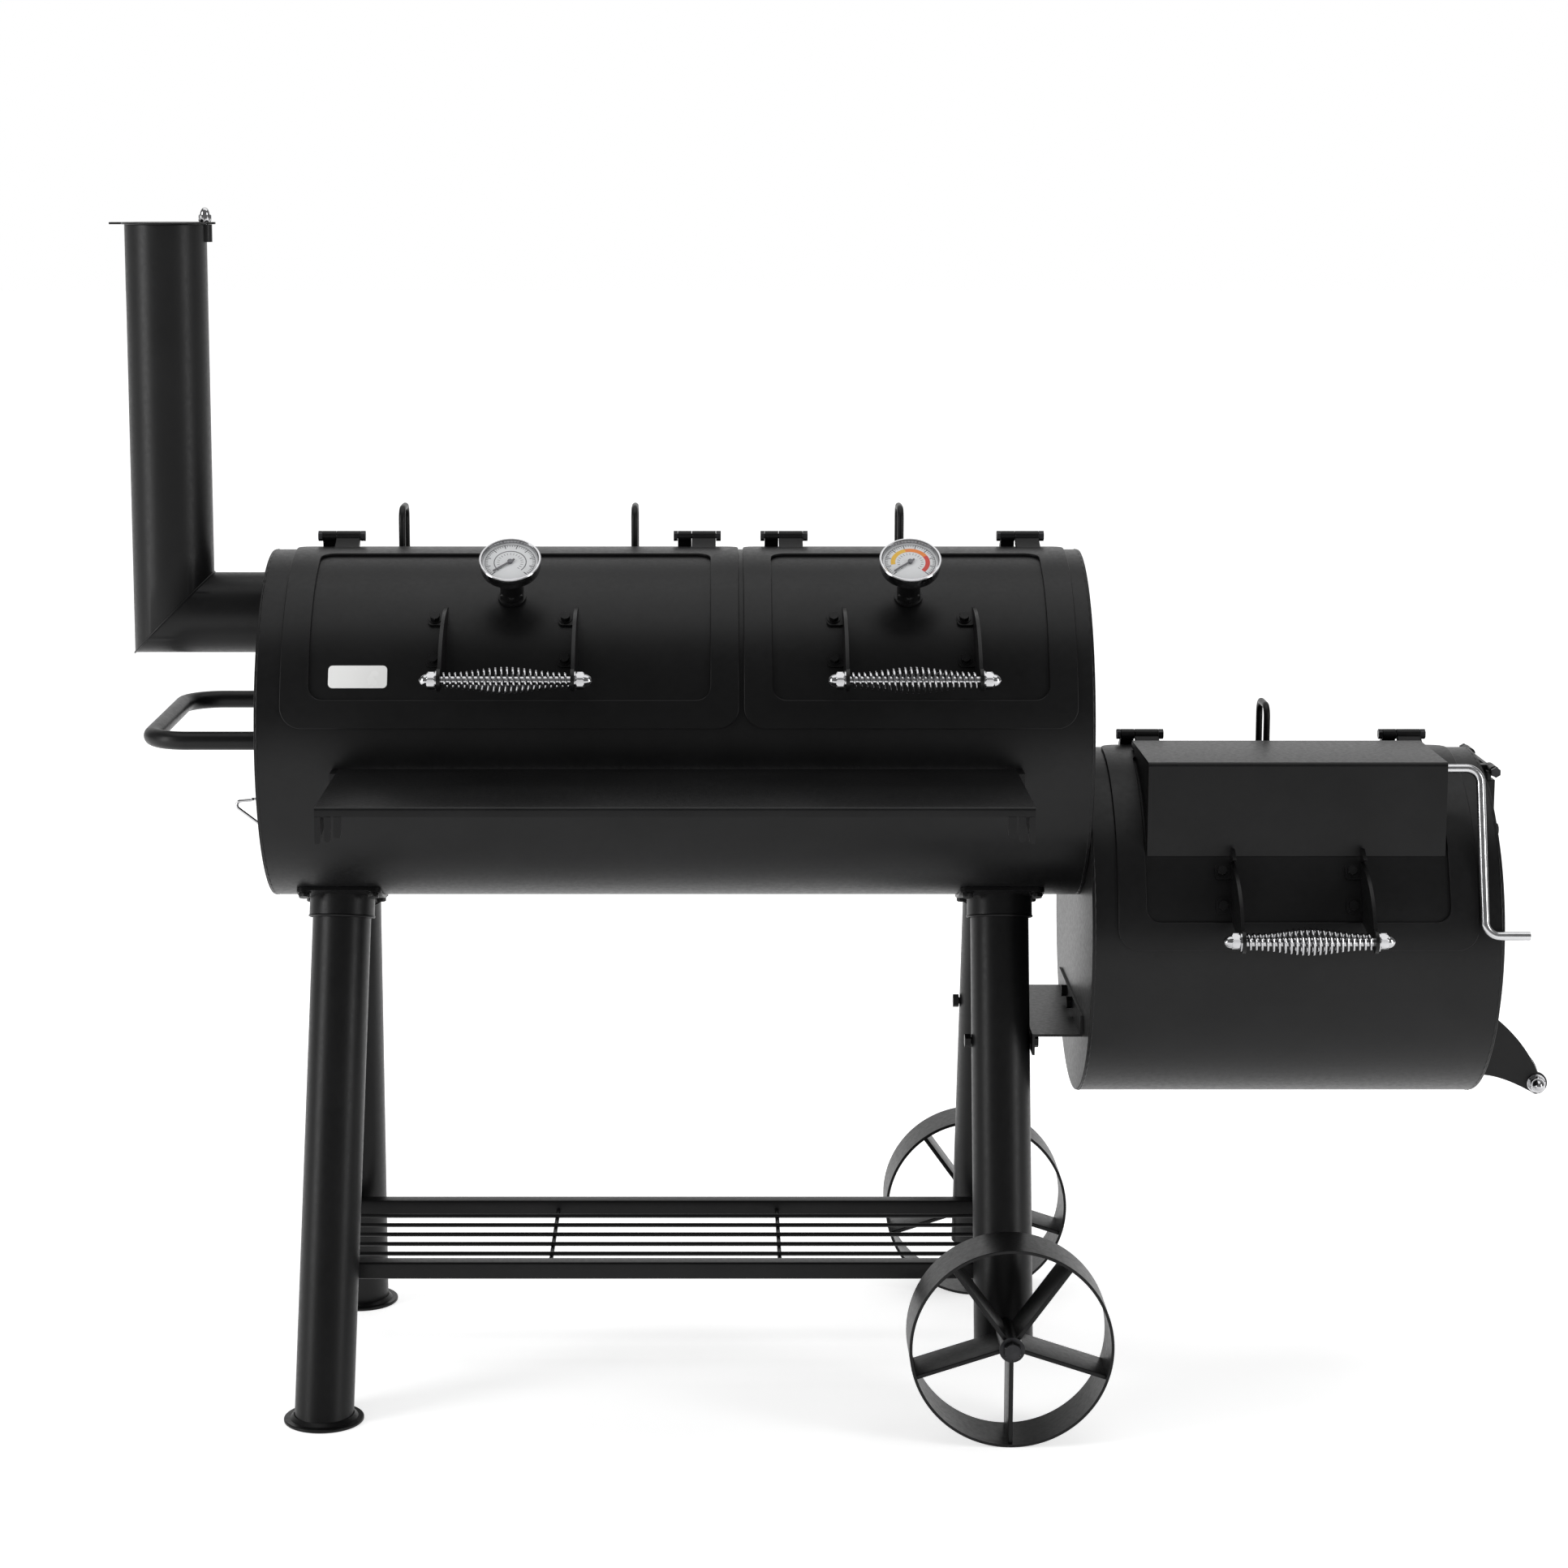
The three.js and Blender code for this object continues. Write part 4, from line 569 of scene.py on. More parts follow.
fire_x = gapped(FIREBOX_X)
firebox_skin = barrel_shell(fire_x, FIREBOX_Z, [window_of(LIDS["firebox_lid"])])
coated("firebox_skin", [firebox_skin], "frame", ["firebox_shell"])
fittings = ledges(fire_x, FIREBOX_Z, 90)
for x in LIDS["firebox_lid"]["hinges"]:
    fittings += fixed_knuckle(x, FIREBOX_Z)
coated("firebox_fittings", fittings, "frame", bevel=0.5)
coated("firebox_lid_rest", [rest_loop(LIDS["firebox_lid"]["middle"], FIREBOX_Z)], "frame")

PASSAGE_Z = (CHAMBER_Z + FIREBOX_Z) / 2


def weld_bead(x, z):
    """Uneven bead round a cap: a ring whose own radius is 1.3 + 0.25 sin 83 t + 0.15 sin(131 t + 1)
    at the angle t."""
    t = np.linspace(0, 2 * np.pi, 361)[:-1]
    swell = 1.3 + 0.25 * np.sin(83 * t) + 0.15 * np.sin(131 * t + 1)
    v = np.linspace(0, 2 * np.pi, 9)[:-1]
    r = R - 0.9 + swell[:, None] * np.cos(v)[None]
    side = swell[:, None] * np.sin(v)[None]
    P = np.stack([x + side, r * np.cos(t)[:, None], z + r * np.sin(t)[:, None]], -1)
    return patch(P, wrap_u=True, wrap_v=True)


def cap(name, x, z, inner, hides, extra=()):
    """End of a barrel: the flat ring between its rim and the loop that inner makes of the rim."""
    rim = circle(R, 0, z)
    coated(name, [ring_plate(rim, inner(rim), *x), *extra], "frame", [hides], bevel=0.8)


def flue(rim):
    """Mouth of the passage between the barrels."""
    return toward(rim, 0, PASSAGE_Z, *PASSAGE_HALF)


def round_hole(radius, z, hole_z):
    """Maker of a round hole: the rim shrunk by radius / R about its own middle, moved to hole_z."""
    return lambda rim: (rim - (0, z)) * (radius / R) + (0, hole_z)


eye_at = (CHAMBER_X[0] - 9, -75, CHAMBER_Z - 80)
lug = [collar(2.6, 6.5, (-3, 3), eye_at, AXIS_Y, 40),
       block((-476, CHAMBER_X[0]), (-78, -72), (694, 706))]
cap("chamber_left_end", (CHAMBER_X[0], CHAMBER_X[0] + WALL), CHAMBER_Z,
    round_hole(STACK_BORE, CHAMBER_Z, STACK_Z), "chamber_left_cap", lug)
cap("chamber_right_end", (CHAMBER_X[1] - WALL, CHAMBER_X[1]), CHAMBER_Z, flue, "chamber_right_cap")
cap("firebox_left_end", (FIREBOX_X[0], FIREBOX_X[0] + WALL), FIREBOX_Z, flue, "firebox_left_cap")
door_lugs = [collar(DOOR_PIN_BORE, 6, (-6, 6), (DOOR_PIN_X, y, DOOR_PIN_Z), AXIS_Y, 32)
             for y in (-54, 54)]
door_lugs += [block((935, 942.5), (y - 6, y + 6), (729, 739)) for y in (-54, 54)]
cap("firebox_right_end", (FIREBOX_X[1] - WALL, FIREBOX_X[1]), FIREBOX_Z,
    round_hole(165, FIREBOX_Z, FIREBOX_Z), "firebox_right_cap", door_lugs)
beads = [weld_bead(x, z) for ends, z in ((CHAMBER_X, CHAMBER_Z), (FIREBOX_X, FIREBOX_Z))
         for x in (ends[0] + WALL, ends[1] - WALL)]
coated("end_weld_beads", beads, "frame")

# ---- smoke stack --------------------------------------------------------------------------------

t = np.linspace(0, 2 * np.pi, 97)[:-1]


def pipe_rows(radius, start, end):
    """Rows of the mitred pipe: the same angle t gives (x, r cos t, z + r sin t) on the level arm,
    x = axis + r sin t on the mitre plane, and that x again at the top."""
    y, lift = radius * np.cos(t), radius * np.sin(t)
    rows = [np.column_stack([np.full(96, start), y, STACK_Z + lift])]
    for k in np.linspace(0, 1, 5)[1:]:
        rows.append(np.column_stack([start + (STACK_X + lift - start) * k, y, STACK_Z + lift]))
    for k in np.linspace(0, 1, 9)[1:]:
        z = STACK_Z + lift
        rows.append(np.column_stack([STACK_X + lift, y, z + (end - z) * k]))
    return rows


pipe_start = CHAMBER_X[0] - 0.3
rows = (pipe_rows(STACK_R, pipe_start, STACK_TOP)
        + pipe_rows(STACK_BORE, pipe_start, STACK_TOP)[::-1])
spokes = np.column_stack([np.sin(t), np.cos(t), np.sin(t)])
spokes = np.vstack([spokes, spokes[:1]])
seam = (STACK_X, 0, STACK_Z) + (STACK_R + 0.3) * spokes
boss = collar(PIVOT_R, 8, (0, 20), (PIVOT_X, 0, STACK_TOP - 20), AXIS_Z, 32)
foot_weld = turned([(46, -3.4), (47.6, -3.2), (50.2, -0.6), (50, -0.2), (46, -0.2)],
                   (CHAMBER_X[0], 0, STACK_Z), AXIS_X, 96, ring=True)
pipe = patch(np.stack(rows, 1), wrap_u=True, wrap_v=True)
coated("smoke_stack", [pipe, boss, foot_weld], "frame", ["stack_pipe"], bevel=0.3)
coated("stack_mitre_weld", [sweep(seam, spokes, 1.1, 8)], "frame")

lid_disc = [(0.5, 0), (50, 0), (51, 0.8), (51, 1.7), (50, 2.5), (0.5, 2.5)]
cap_z = STACK_TOP + 0.3
tab = prism([(-7, 0), (7, 0), (8, 1), (8, 1.6), (7, 2.5), (-7, 2.5), (-8, 1.6), (-8, 1)],
            -652, -630)
tab = (tab[0] + (0, 0, cap_z), tab[1])
ear = collar(PIVOT_R, 12, (0, 2.5), (PIVOT_X, 0, cap_z), AXIS_Z, 48)
lid_disc = turned(lid_disc, (STACK_X, 0, cap_z), AXIS_Z, 96)
coated("stack_lid", [lid_disc, tab, ear], "stack_cap", ["stack_cap"], bevel=0.3)


def acorn(at, axis, across, length):
    """Hexagon nut with a dome on it: radius 0.43 across cos a, height 0.48 + 0.52 sin a of the
    length."""
    base = hexagon(at, axis, across, length * 0.5)
    a = np.linspace(0, np.pi / 2, 12)
    dome = np.column_stack([across * 0.43 * np.cos(a) + 0.05,
                            length * 0.48 + length * 0.52 * np.sin(a)])
    dome = np.vstack([[across * 0.43, length * 0.3], dome])
    return [base, turned(dome, at, axis, 36)]


bolt = [turned([(4, -17), (4, 6)], (PIVOT_X, 0, STACK_TOP), AXIS_Z, 24)]
bolt += acorn((PIVOT_X, 0, STACK_TOP + 3.1), AXIS_Z, 13, 16.5)
piece("stack_lid_bolt", bolt, CHROME, "frame", ["stack_cap_bolt"])

# ---- lids ---------------------------------------------------------------------------------------

def grip_centre(lid):
    """Middle of a lid's grip, as (y, z) about the barrel's axis."""
    return polar(GRIP_R, lid["horn"][2])


def round_tip(centre, middle, out):
    """Upper and lower arc of a bracket's round tip, centre + r (out cos a, sin a); both end a
    little below the middle."""
    return [centre + TIP_R * np.column_stack([out * np.cos(a), np.sin(a)])
            for a in (np.radians(middle + np.linspace(85, -5, 10)),
                      np.radians(middle + np.linspace(-95, -5.6, 10)))]


def ruled(lower, upper, share):
    """Straight lines from each lower point to its upper one, with a point at each share."""
    return lower[:, None] + (upper - lower)[:, None] * share[None, :, None]


def bracket_plate(sheet, axis, at):
    """Plate 4 mm thick: the flat sheet of points on both its faces, joined round its edges."""
    near, far = (np.insert(sheet, axis, at + side, axis=-1) for side in (-2, 2))
    return np.concatenate([near, far[:, ::-1]], 1)


def horn(lid, x):
    """Bracket plate: a strip ruled between its lower and upper edge, both running from the lid to
    the round tip. At the lid the ruling follows the barrel's arc."""
    top, foot, _ = lid["horn"]
    centre, mid = grip_centre(lid), (top + foot) / 2
    tip_up, tip_low = round_tip(centre, mid, -1)
    crown = polar(R + 60, mid + 1)
    start = polar(R - 0.4, foot)
    dip = (start + tip_low[0]) / 2 + (-2, 6)
    upper = np.vstack([bezier(polar(R - 0.4, top), crown, tip_up[0], 20), tip_up[1:]])
    lower = np.vstack([bezier(start, dip, tip_low[0], 20), tip_low[1:]])
    share = np.linspace(0, 1, 7)
    sheet = ruled(lower, upper, share)
    on_lid_line = polar(R - 0.4, foot + (top - foot) * share)
    ease = np.clip(1 - np.linspace(0, 4, len(sheet)), 0, 1)[:, None, None]
    sheet = sheet + ease * (on_lid_line - sheet[0])[None]
    return patch(bracket_plate(sheet, 0, x) + (0, 0, lid["z"]), wrap_v=True, cap_u=True)


def horn_feet(lid, x):
    """Strip bolted to the lid beside a bracket, with two hexagon bolts on washers."""
    top, foot, _ = lid["horn"]
    solids = []
    for turn in (top - 0.2 * (top - foot), top - 0.74 * (top - foot)):
        solids.append(barrel_plate(x - 20, x, arc(turn - 2.6), arc(turn + 2.6), R, R + 3, lid["z"],
                                   5, 10, 6))
        base = np.array([x - 12, *(polar(R + 3, turn) + (0, lid["z"]))])
        solids += washer_bolt(base, np.append(0, polar(1, turn)), 7.5, 1, 10)
    return solids


def grip(name, body, centre, axis, hides):
    """Bar with washers and acorn nuts, and round it a barrel-shaped coil: a helix whose radius is
    9.8 + 6.2 cos(90 u)^2.6 at the share u from the middle."""
    d = unit(np.asarray(axis, float))
    e1, e2, _ = frame_of(d)
    half = GRIP_HALF - 2.3
    solids = [turned([(5, -half - 12), (5, half + 12)], centre, d, 24)]
    for side in (-1, 1):
        solids.append(collar(5, 11, (0, 1.4), centre + d * side * (half + 4.6), d * side, 40))
        solids += acorn(centre + d * side * (half + 6.2), d * side, 17, 18)
    piece(name + "_bar", solids, CHROME, body, [hides[0]])
    turns = 22
    u = np.linspace(-1, 1, turns * 26)
    wire = 1.4
    r = 9.8 + 6.2 * np.cos(np.pi * u / 2) ** 2.6 - wire
    phase = u * turns * np.pi
    out = np.cos(phase)[:, None] * e1 + np.sin(phase)[:, None] * e2
    path = centre + d * (u * (half - wire))[:, None] + r[:, None] * out
    piece(name + "_coil", [sweep(path, out, wire, 9)], CHROME, body, [hides[1]])


def moving_knuckle(x, z):
    """Sleeve that turns with the lid, a ring, and its leaf, a flat outline bent down onto the
    lid's frame and carried along X."""
    x0 = x + FIXED_SLEEVE + SLEEVE_GAP
    top = z + HINGE_RISE
    sleeve = collar(PIN + 0.3, KNUCKLE, (0, MOVING_SLEEVE), (x0, HINGE_Y, top), AXIS_X, 32)
    leaf = prism([(HINGE_Y - ahead, top - drop)
                  for ahead, drop in ((4.2, 0.5), (14, 5.6), (24, 9.2), (28, 10.8), (6, 11.2),
                                      (1.4, 5.4))],
                 x0, x0 + MOVING_SLEEVE)
    return [sleeve, leaf]


for name, lid in LIDS.items():
    x0, x1 = lid["x"]
    low, high = arc(lid["low"]), arc(LID_TOP)
    outer = outline(x0, x1, low, high, 24)
    inner = outline(x0 + BAND_WIDTH, x1 - BAND_WIDTH, low + BAND_WIDTH, high - BAND_TOP, 16)
    solids = [barrel_band(outer, inner, *BAND, lid["z"])]
    coated(name + "_rim", solids, name, [name + "_frame"], bevel=0.7)
    leaves = [solid for x in lid["hinges"] for solid in moving_knuckle(x, lid["z"])]
    coated(name + "_leaves", leaves, name, bevel=0.5)
    half = BAND_WIDTH / 2
    edge = outline(x0 + half, x1 - half, low + half, high - BAND_TOP + half, 16)
    if name == "firebox_lid":
        mouth = outline(lid["middle"] - 150, lid["middle"] + 150, arc(40), arc(76), 3)
    else:
        spot = np.array([lid["middle"], arc(DIAL_TILT)])
        mouth = spot + 4 * unit(edge - spot)
    coated(name + "_skin", [barrel_band(edge, mouth, R - WALL, R, lid["z"], 26)], name,
           [name + "_panel"])
    brackets = []
    for x in (lid["middle"] - GRIP_HALF, lid["middle"] + GRIP_HALF):
        brackets += [horn(lid, x), *horn_feet(lid, x)]
        if name == "firebox_lid":
            spur = np.array([polar(R + rise, turn)
                             for rise, turn in ((3, 30), (9, 34.2), (15, 33.2), (24, 29))])
            brackets.append(prism(spur + (0, lid["z"]), x - 2, x + 2))
    coated(name + "_brackets", brackets, name, bevel=0.5)
    centre = np.array([lid["middle"], *(grip_centre(lid) + (0, lid["z"]))])
    grip(name + "_grip", name, centre, AXIS_X, (name + "_handle_bar", name + "_handle_spring"))

# ---- thermometers -------------------------------------------------------------------------------

FACE_H, PLATE_H = 258.2, 257.85   # a dial's face and the back of its plate, from the axis
MARK_RISE = 0.2
DIAL_TURN = 135                   # a scale's end, degrees from straight up


def dial_frame():
    """Outward direction of a dial, DIAL_TILT up from the front, and its across and up directions
    as seen from there; up is out x across."""
    out = np.append(0, polar(1, DIAL_TILT))
    across = np.array([1.0, 0, 0])
    return out, across, np.cross(out, across)


def dial_marks(lid, radii, degrees, width):
    """Thin slabs on the dial face, one per clockwise angle from straight up, between two radii."""
    out, across, up = dial_frame()
    a = np.radians(np.asarray(degrees, float))[:, None, None]
    r = np.array([radii[0], radii[0], radii[1], radii[1]])[None, :, None]
    w = np.array([-1, 1, 1, -1])[None, :, None] * width / 2
    radial = np.sin(a) * across + np.cos(a) * up
    tangent = np.cos(a) * across - np.sin(a) * up
    flat = np.array([lid["middle"], 0, lid["z"]]) + r * radial + w * tangent
    low, high = flat + out * FACE_H, flat + out * (FACE_H + MARK_RISE)
    return [patch(np.stack(pair, 1), wrap_u=True, cap_v=True) for pair in zip(low, high)]


def dial_arc(lid, radii, degrees):
    """Thin curved slab on the dial face between two radii and two clockwise angles."""
    out, across, up = dial_frame()
    a = np.radians(np.linspace(*degrees, 24))[:, None]
    radial = np.sin(a) * across + np.cos(a) * up
    base = np.array([lid["middle"], 0, lid["z"]])
    loop = [(radii[0], 0), (radii[1], 0), (radii[1], MARK_RISE), (radii[0], MARK_RISE)]
    P = np.stack([base + r * radial + out * (FACE_H + h) for r, h in loop], 1)
    return patch(P, wrap_v=True, cap_u=True)


for side in ("left", "right"):
    lid = LIDS[side + "_lid"]
    body = side + "_lid"
    out = dial_frame()[0]
    at = np.array([lid["middle"], 0, lid["z"]])
    case = [(12, 247.3), (30, 247.3), (33.4, 249.2), (34.2, 253), (34.2, 259.5), (35, 260.2),
            (35, 262.2), (34.2, 263.2), (32.6, 263.3), (31.4, 262.4), (31.1, 258.8), (30.8, 258),
            (12, 257.8)]
    piece(side + "_dial_case", [turned(case, at, out, 96, ring=True)], BEZEL, body,
          [side + "_thermometer"])
    stem = [(3.5, R + 0.4), (16, R + 0.4), (16, R + 3), (13, R + 4.2), (13, 240), (14.5, 242),
            (14.5, 247.2), (3.5, 247.2)]
    nut = hexagon(at + out * (R + 3), out, 26, 9)
    coated(side + "_dial_stem", [turned(stem, at, out, 48, ring=True), nut], body)
    probe = turned([(3.4, R - 60), (3.5, R - 58), (3.5, R + 3)], at, out, 24)
    piece(side + "_dial_probe", [probe], STAINLESS, body)
    plate = turned([(0.4, PLATE_H), (31, PLATE_H), (31, FACE_H), (0.4, FACE_H)], at, out, 72)
    piece(side + "_dial_plate", [plate], FACE, body)
    whole = (-DIAL_TURN, DIAL_TURN)
    marks = []
    for radii, count, width in (((25, 28), 46, 0.5), ((22.5, 28), 10, 1.0), ((12, 15), 19, 0.4)):
        marks += dial_marks(lid, radii, np.linspace(*whole, count), width)
    marks.append(dial_arc(lid, (28, 28.5), whole))
    piece(side + "_dial_ticks", marks, INK, body)
    if side == "right":
        for tint, span, colour in (("yellow", (-100, -15), YELLOW), ("orange", (-15, 60), ORANGE),
                                   ("red", (60, DIAL_TURN), RED)):
            piece("right_dial_" + tint, [dial_arc(lid, (17, 22), span)], colour, body)
    else:
        piece("left_dial_band", [dial_arc(lid, (17.5, 18.5), whole)], INK, body)

plate_x = LIDS["left_lid"]["x"][0] + BAND_WIDTH + 22
white_plate = barrel_plate(plate_x, plate_x + 66, arc(19.7), arc(27.0), R + 0.3, R + 1.7, CHAMBER_Z,
                           5, 20, 16)
piece("blank_plate", [white_plate], ENAMEL, "left_lid", ["badge_plate"], bevel=0.3)

# ---- hood and crank -----------------------------------------------------------------------------

HOOD_X = (534.8, 872.8)
HOOD_TOP = FIREBOX_Z + 216.5
HOOD_Y = (-172.0, -14.0)
HOOD_BACK_Z = 751.5          # lower edge of the hood's back


def on_lid(y):
    """Height of the firebox lid at y: z + sqrt(r^2 - y^2)."""
    return FIREBOX_Z + np.sqrt((R + 0.4) ** 2 - np.asarray(y) ** 2)


profile = bent([(0, HOOD_Y[0] + 1, on_lid(HOOD_Y[0] + 1) - 1), (0, HOOD_Y[0] + 1, HOOD_TOP - 1),
                (0, HOOD_Y[1] - 1, HOOD_TOP - 1), (0, HOOD_Y[1] - 1, HOOD_BACK_Z)], 3.5, 6)[:, 1:]
hood = [folded(profile, *HOOD_X)]
ys = np.linspace(HOOD_Y[0] + 1.5, -37.0, 30)
low_edge = np.append(on_lid(ys), [HOOD_BACK_Z] * 2)
ys = np.append(ys, [-36.9, HOOD_Y[1] - 1.5])
top_edge = np.full(len(ys), HOOD_TOP - 1)
for x in (HOOD_X[0], HOOD_X[1] - 2):
    loops = [np.column_stack([np.full(len(ys), at), ys, edge])
             for at, edge in ((x, low_edge), (x, top_edge), (x + 2, top_edge), (x + 2, low_edge))]
    hood.append(patch(np.stack(loops, 1), wrap_v=True, cap_u=True))
coated("firebox_hood", hood, "firebox_lid", ["fuel_hopper"], bevel=0.4)

SPINDLE_Y, SPINDLE_RISE = -155.0, 207.0
SPINDLE = (SPINDLE_Y, FIREBOX_Z + SPINDLE_RISE)
CRANK_ARM, CRANK_OUT, CRANK_GRIP = 190, 40, 50
reach = math.hypot(SPINDLE_Y, SPINDLE_RISE)
lean = math.asin((R + 5.8) / reach) - math.atan2(-SPINDLE_Y, SPINDLE_RISE)
arm_x = HOOD_X[1] + CRANK_OUT
end = (SPINDLE[0] - CRANK_ARM * math.sin(lean), SPINDLE[1] - CRANK_ARM * math.cos(lean))
crank_path = bent([(HOOD_X[0] + 12, *SPINDLE), (arm_x, *SPINDLE), (arm_x, *end),
                   (arm_x + CRANK_GRIP, *end)], 16, 12)
crank_side = np.array([0, math.cos(lean), -math.sin(lean)])
rod = sweep(crank_path, crank_side, 5.0, 20)
middle = LIDS["firebox_lid"]["middle"]
flap = block((middle - 140, middle + 140), (SPINDLE_Y, -85), (SPINDLE[1] - 1.5, SPINDLE[1] + 1.5))
piece("crank_rod", [rod], STAINLESS, "crank", ["hopper_crank"], bevel=0.6)
piece("crank_flap", [flap], COAT_DULL, "crank", bevel=0.5)

# ---- end door -----------------------------------------------------------------------------------

def vented_disc(radius, x0, x1):
    """Disc with two facing vents: two grids of (radius, angle) whose middle ring of cells is left
    out over the vents and whose open edges are joined."""
    (a0, a1), (b0, b1) = VENTS
    turn = np.concatenate([np.linspace(a0, a1, 15), np.linspace(a1, b0, 23)[1:],
                           np.linspace(b0, b1, 15)[1:], np.linspace(b1, a0 + 360, 23)[1:-1]])
    radii = np.array([4.3, 12.0, VENT_R, radius])
    n = len(turn)
    a = np.radians(turn)
    spoke = np.column_stack([-np.cos(a), np.sin(a)])
    loops = radii[:, None, None] * spoke[None]
    V = np.concatenate([np.insert(loops + (0, FIREBOX_Z), 0, x, axis=-1).reshape(-1, 3)
                        for x in (x0, x1)])
    index = np.arange(4 * n).reshape(4, n)
    wrap = np.hstack([index, index[:, :1]])
    quads = np.stack([wrap[:-1, :-1], wrap[1:, :-1], wrap[1:, 1:], wrap[:-1, 1:]], -1)
    mid = (turn + np.append(turn[1:], a0 + 360)) / 2
    keep = np.ones(quads.shape[:2], bool)
    for low, high in VENTS:
        keep[1] &= ~((mid > low) & (mid < high))
    front = quads[keep]
    half = len(radii) * n
    return outward(V, [front, front[:, ::-1] + half, edge_walls(front, half)])


STRAP_Y, STRAP_Z, STRAP_THICK, STRAP_BOLT_Z = (60.5, 76.5), (650, 724), 9, 664
STRAP_WIDE = STRAP_Y[1] - STRAP_Y[0]
lip = [(183.5, 0), (DOOR_R, 0), (187, 1.5), (186.4, 4.2), (183.5, 4.4)]
door = [vented_disc(DOOR_R, *DOOR_X),
        turned(lip, (DOOR_X[0], 0, FIREBOX_Z), AXIS_X, 120, ring=True)]
for side in (-1, 1):
    a, b = sorted(side * y for y in STRAP_Y)
    door.append(block((DOOR_X[1] - 0.5, DOOR_X[1] + STRAP_THICK), (a, b), STRAP_Z))
    door.append(block((DOOR_X[1] - 0.5, 944), (a, b), (722, DOOR_PIN_Z)))
    door.append(collar(DOOR_PIN_BORE, 6, (0, STRAP_WIDE), (DOOR_PIN_X, a, DOOR_PIN_Z), AXIS_Y, 32))
    door.append(hexagon((DOOR_X[1] + STRAP_THICK, (a + b) / 2, STRAP_BOLT_Z), AXIS_X, 13, 7))
coated("end_door_disc", door, "end_door", ["end_door"], bevel=0.5)

GRIP_DOOR = np.array([DOOR_X[1] + 70, 0, FIREBOX_Z - 182])


def door_horn(y):
    """Bracket plate ruled between its lower and upper edge, from the door out to the round tip."""
    foot, top = FIREBOX_Z - 172, FIREBOX_Z - 89
    tip_up, tip_low = round_tip(GRIP_DOOR[[0, 2]], 0, 1)
    base = DOOR_X[1] - 0.4
    upper = np.vstack([bezier((base, top), (base + 52, foot + 50), tip_up[0], 20), tip_up[1:]])
    lower = np.vstack([bezier((base, foot), (base + 26, foot + 2), tip_low[0], 20), tip_low[1:]])
    sheet = ruled(lower, upper, np.linspace(0, 1, 6))
    return patch(bracket_plate(sheet, 1, y), wrap_v=True, cap_u=True)


horns = [door_horn(-GRIP_HALF), door_horn(GRIP_HALF)]
for y in (-GRIP_HALF, GRIP_HALF):
    outer_side = math.copysign(1, y)
    strip = sorted((y, y + outer_side * 18))
    for z in (386.0, 440.0):
        horns.append(block((DOOR_X[1] - 0.4, DOOR_X[1] + 3), strip, (z - 9, z + 9)))
        horns.append(hexagon((DOOR_X[1] + 3, y + outer_side * 11, z), AXIS_X, 10, 5))
coated("end_door_brackets", horns, "end_door", bevel=0.5)
grip("end_door_grip", "end_door", GRIP_DOOR, AXIS_Y,
     ("end_door_handle_bar", "end_door_handle_spring"))
damper = [vented_disc(DAMPER_R, DOOR_X[1] + 0.3, DOOR_X[1] + 2.3),
          turned([(4, -2.7), (4, 3)], (DOOR_X[1], 0, FIREBOX_Z), AXIS_X, 24),
          hexagon((DOOR_X[1] + 2.3, 0, FIREBOX_Z), AXIS_X, 13, 5),
          block((DOOR_X[1] + 1.3, DOOR_X[1] + 16), (-4, 4), (FIREBOX_Z + 47.5, FIREBOX_Z + 51.5))]
coated("damper_disc", damper, "air_damper", ["air_damper"], bevel=0.3)

# ---- legs, sockets and feet ---------------------------------------------------------------------

LEGS = {   # side, x at the top, x at the foot, whether it stands on the axle
    "front_left": (-1, -391.0, -405.0, False),
    "back_left": (1, -391.0, -405.0, False),
    "front_right": (-1, AXLE_X, AXLE_X, True),
    "back_right": (1, AXLE_X, AXLE_X, True),
}
LEG_START = 208.0
SADDLE_HALF = 49


def leg_point(leg, from_axis):
    """Point on a leg's middle line at a distance from the chamber's axis, measured square to X."""
    side, top_x, foot_x, _ = leg
    run = (from_axis - LEG_START) / (math.hypot(FOOT_Y, CHAMBER_Z) - LEG_START)
    return np.array([top_x + (foot_x - top_x) * run, side * from_axis * math.sin(LEG_TILT),
                     CHAMBER_Z - from_axis * math.cos(LEG_TILT)])


def leg_ring(leg, from_axis, radius):
    """Circle about a leg and square to it, c + r (cos a e1 + sin a e2), and the leg's direction."""
    e1, e2, d = frame_of(leg_point(leg, 900) - leg_point(leg, LEG_START))
    a = np.linspace(0, 2 * np.pi, 73)[:-1, None]
    return leg_point(leg, from_axis) + radius * (np.cos(a) * e1 + np.sin(a) * e2), d


def leg_tube(leg):
    """Tube wall whose top is square to the leg and whose foot is cut level: each line runs down the
    leg to where its z meets the height of the leg's end."""
    floor = RIGHT_LEG_END if leg[3] else LEFT_LEG_END

    def lines(radius):
        """Points down each line of the wall at a radius."""
        top, d = leg_ring(leg, LEG_START, radius)
        length = (top[:, 2] - floor) / -d[2]
        return top[:, None] + (length[:, None] * np.linspace(0, 1, 14)[None])[..., None] * d

    outer, inner = lines(LEG_R), lines(LEG_R - 2.5)
    return patch(np.concatenate([outer, inner[:, ::-1]], 1), wrap_u=True, wrap_v=True)


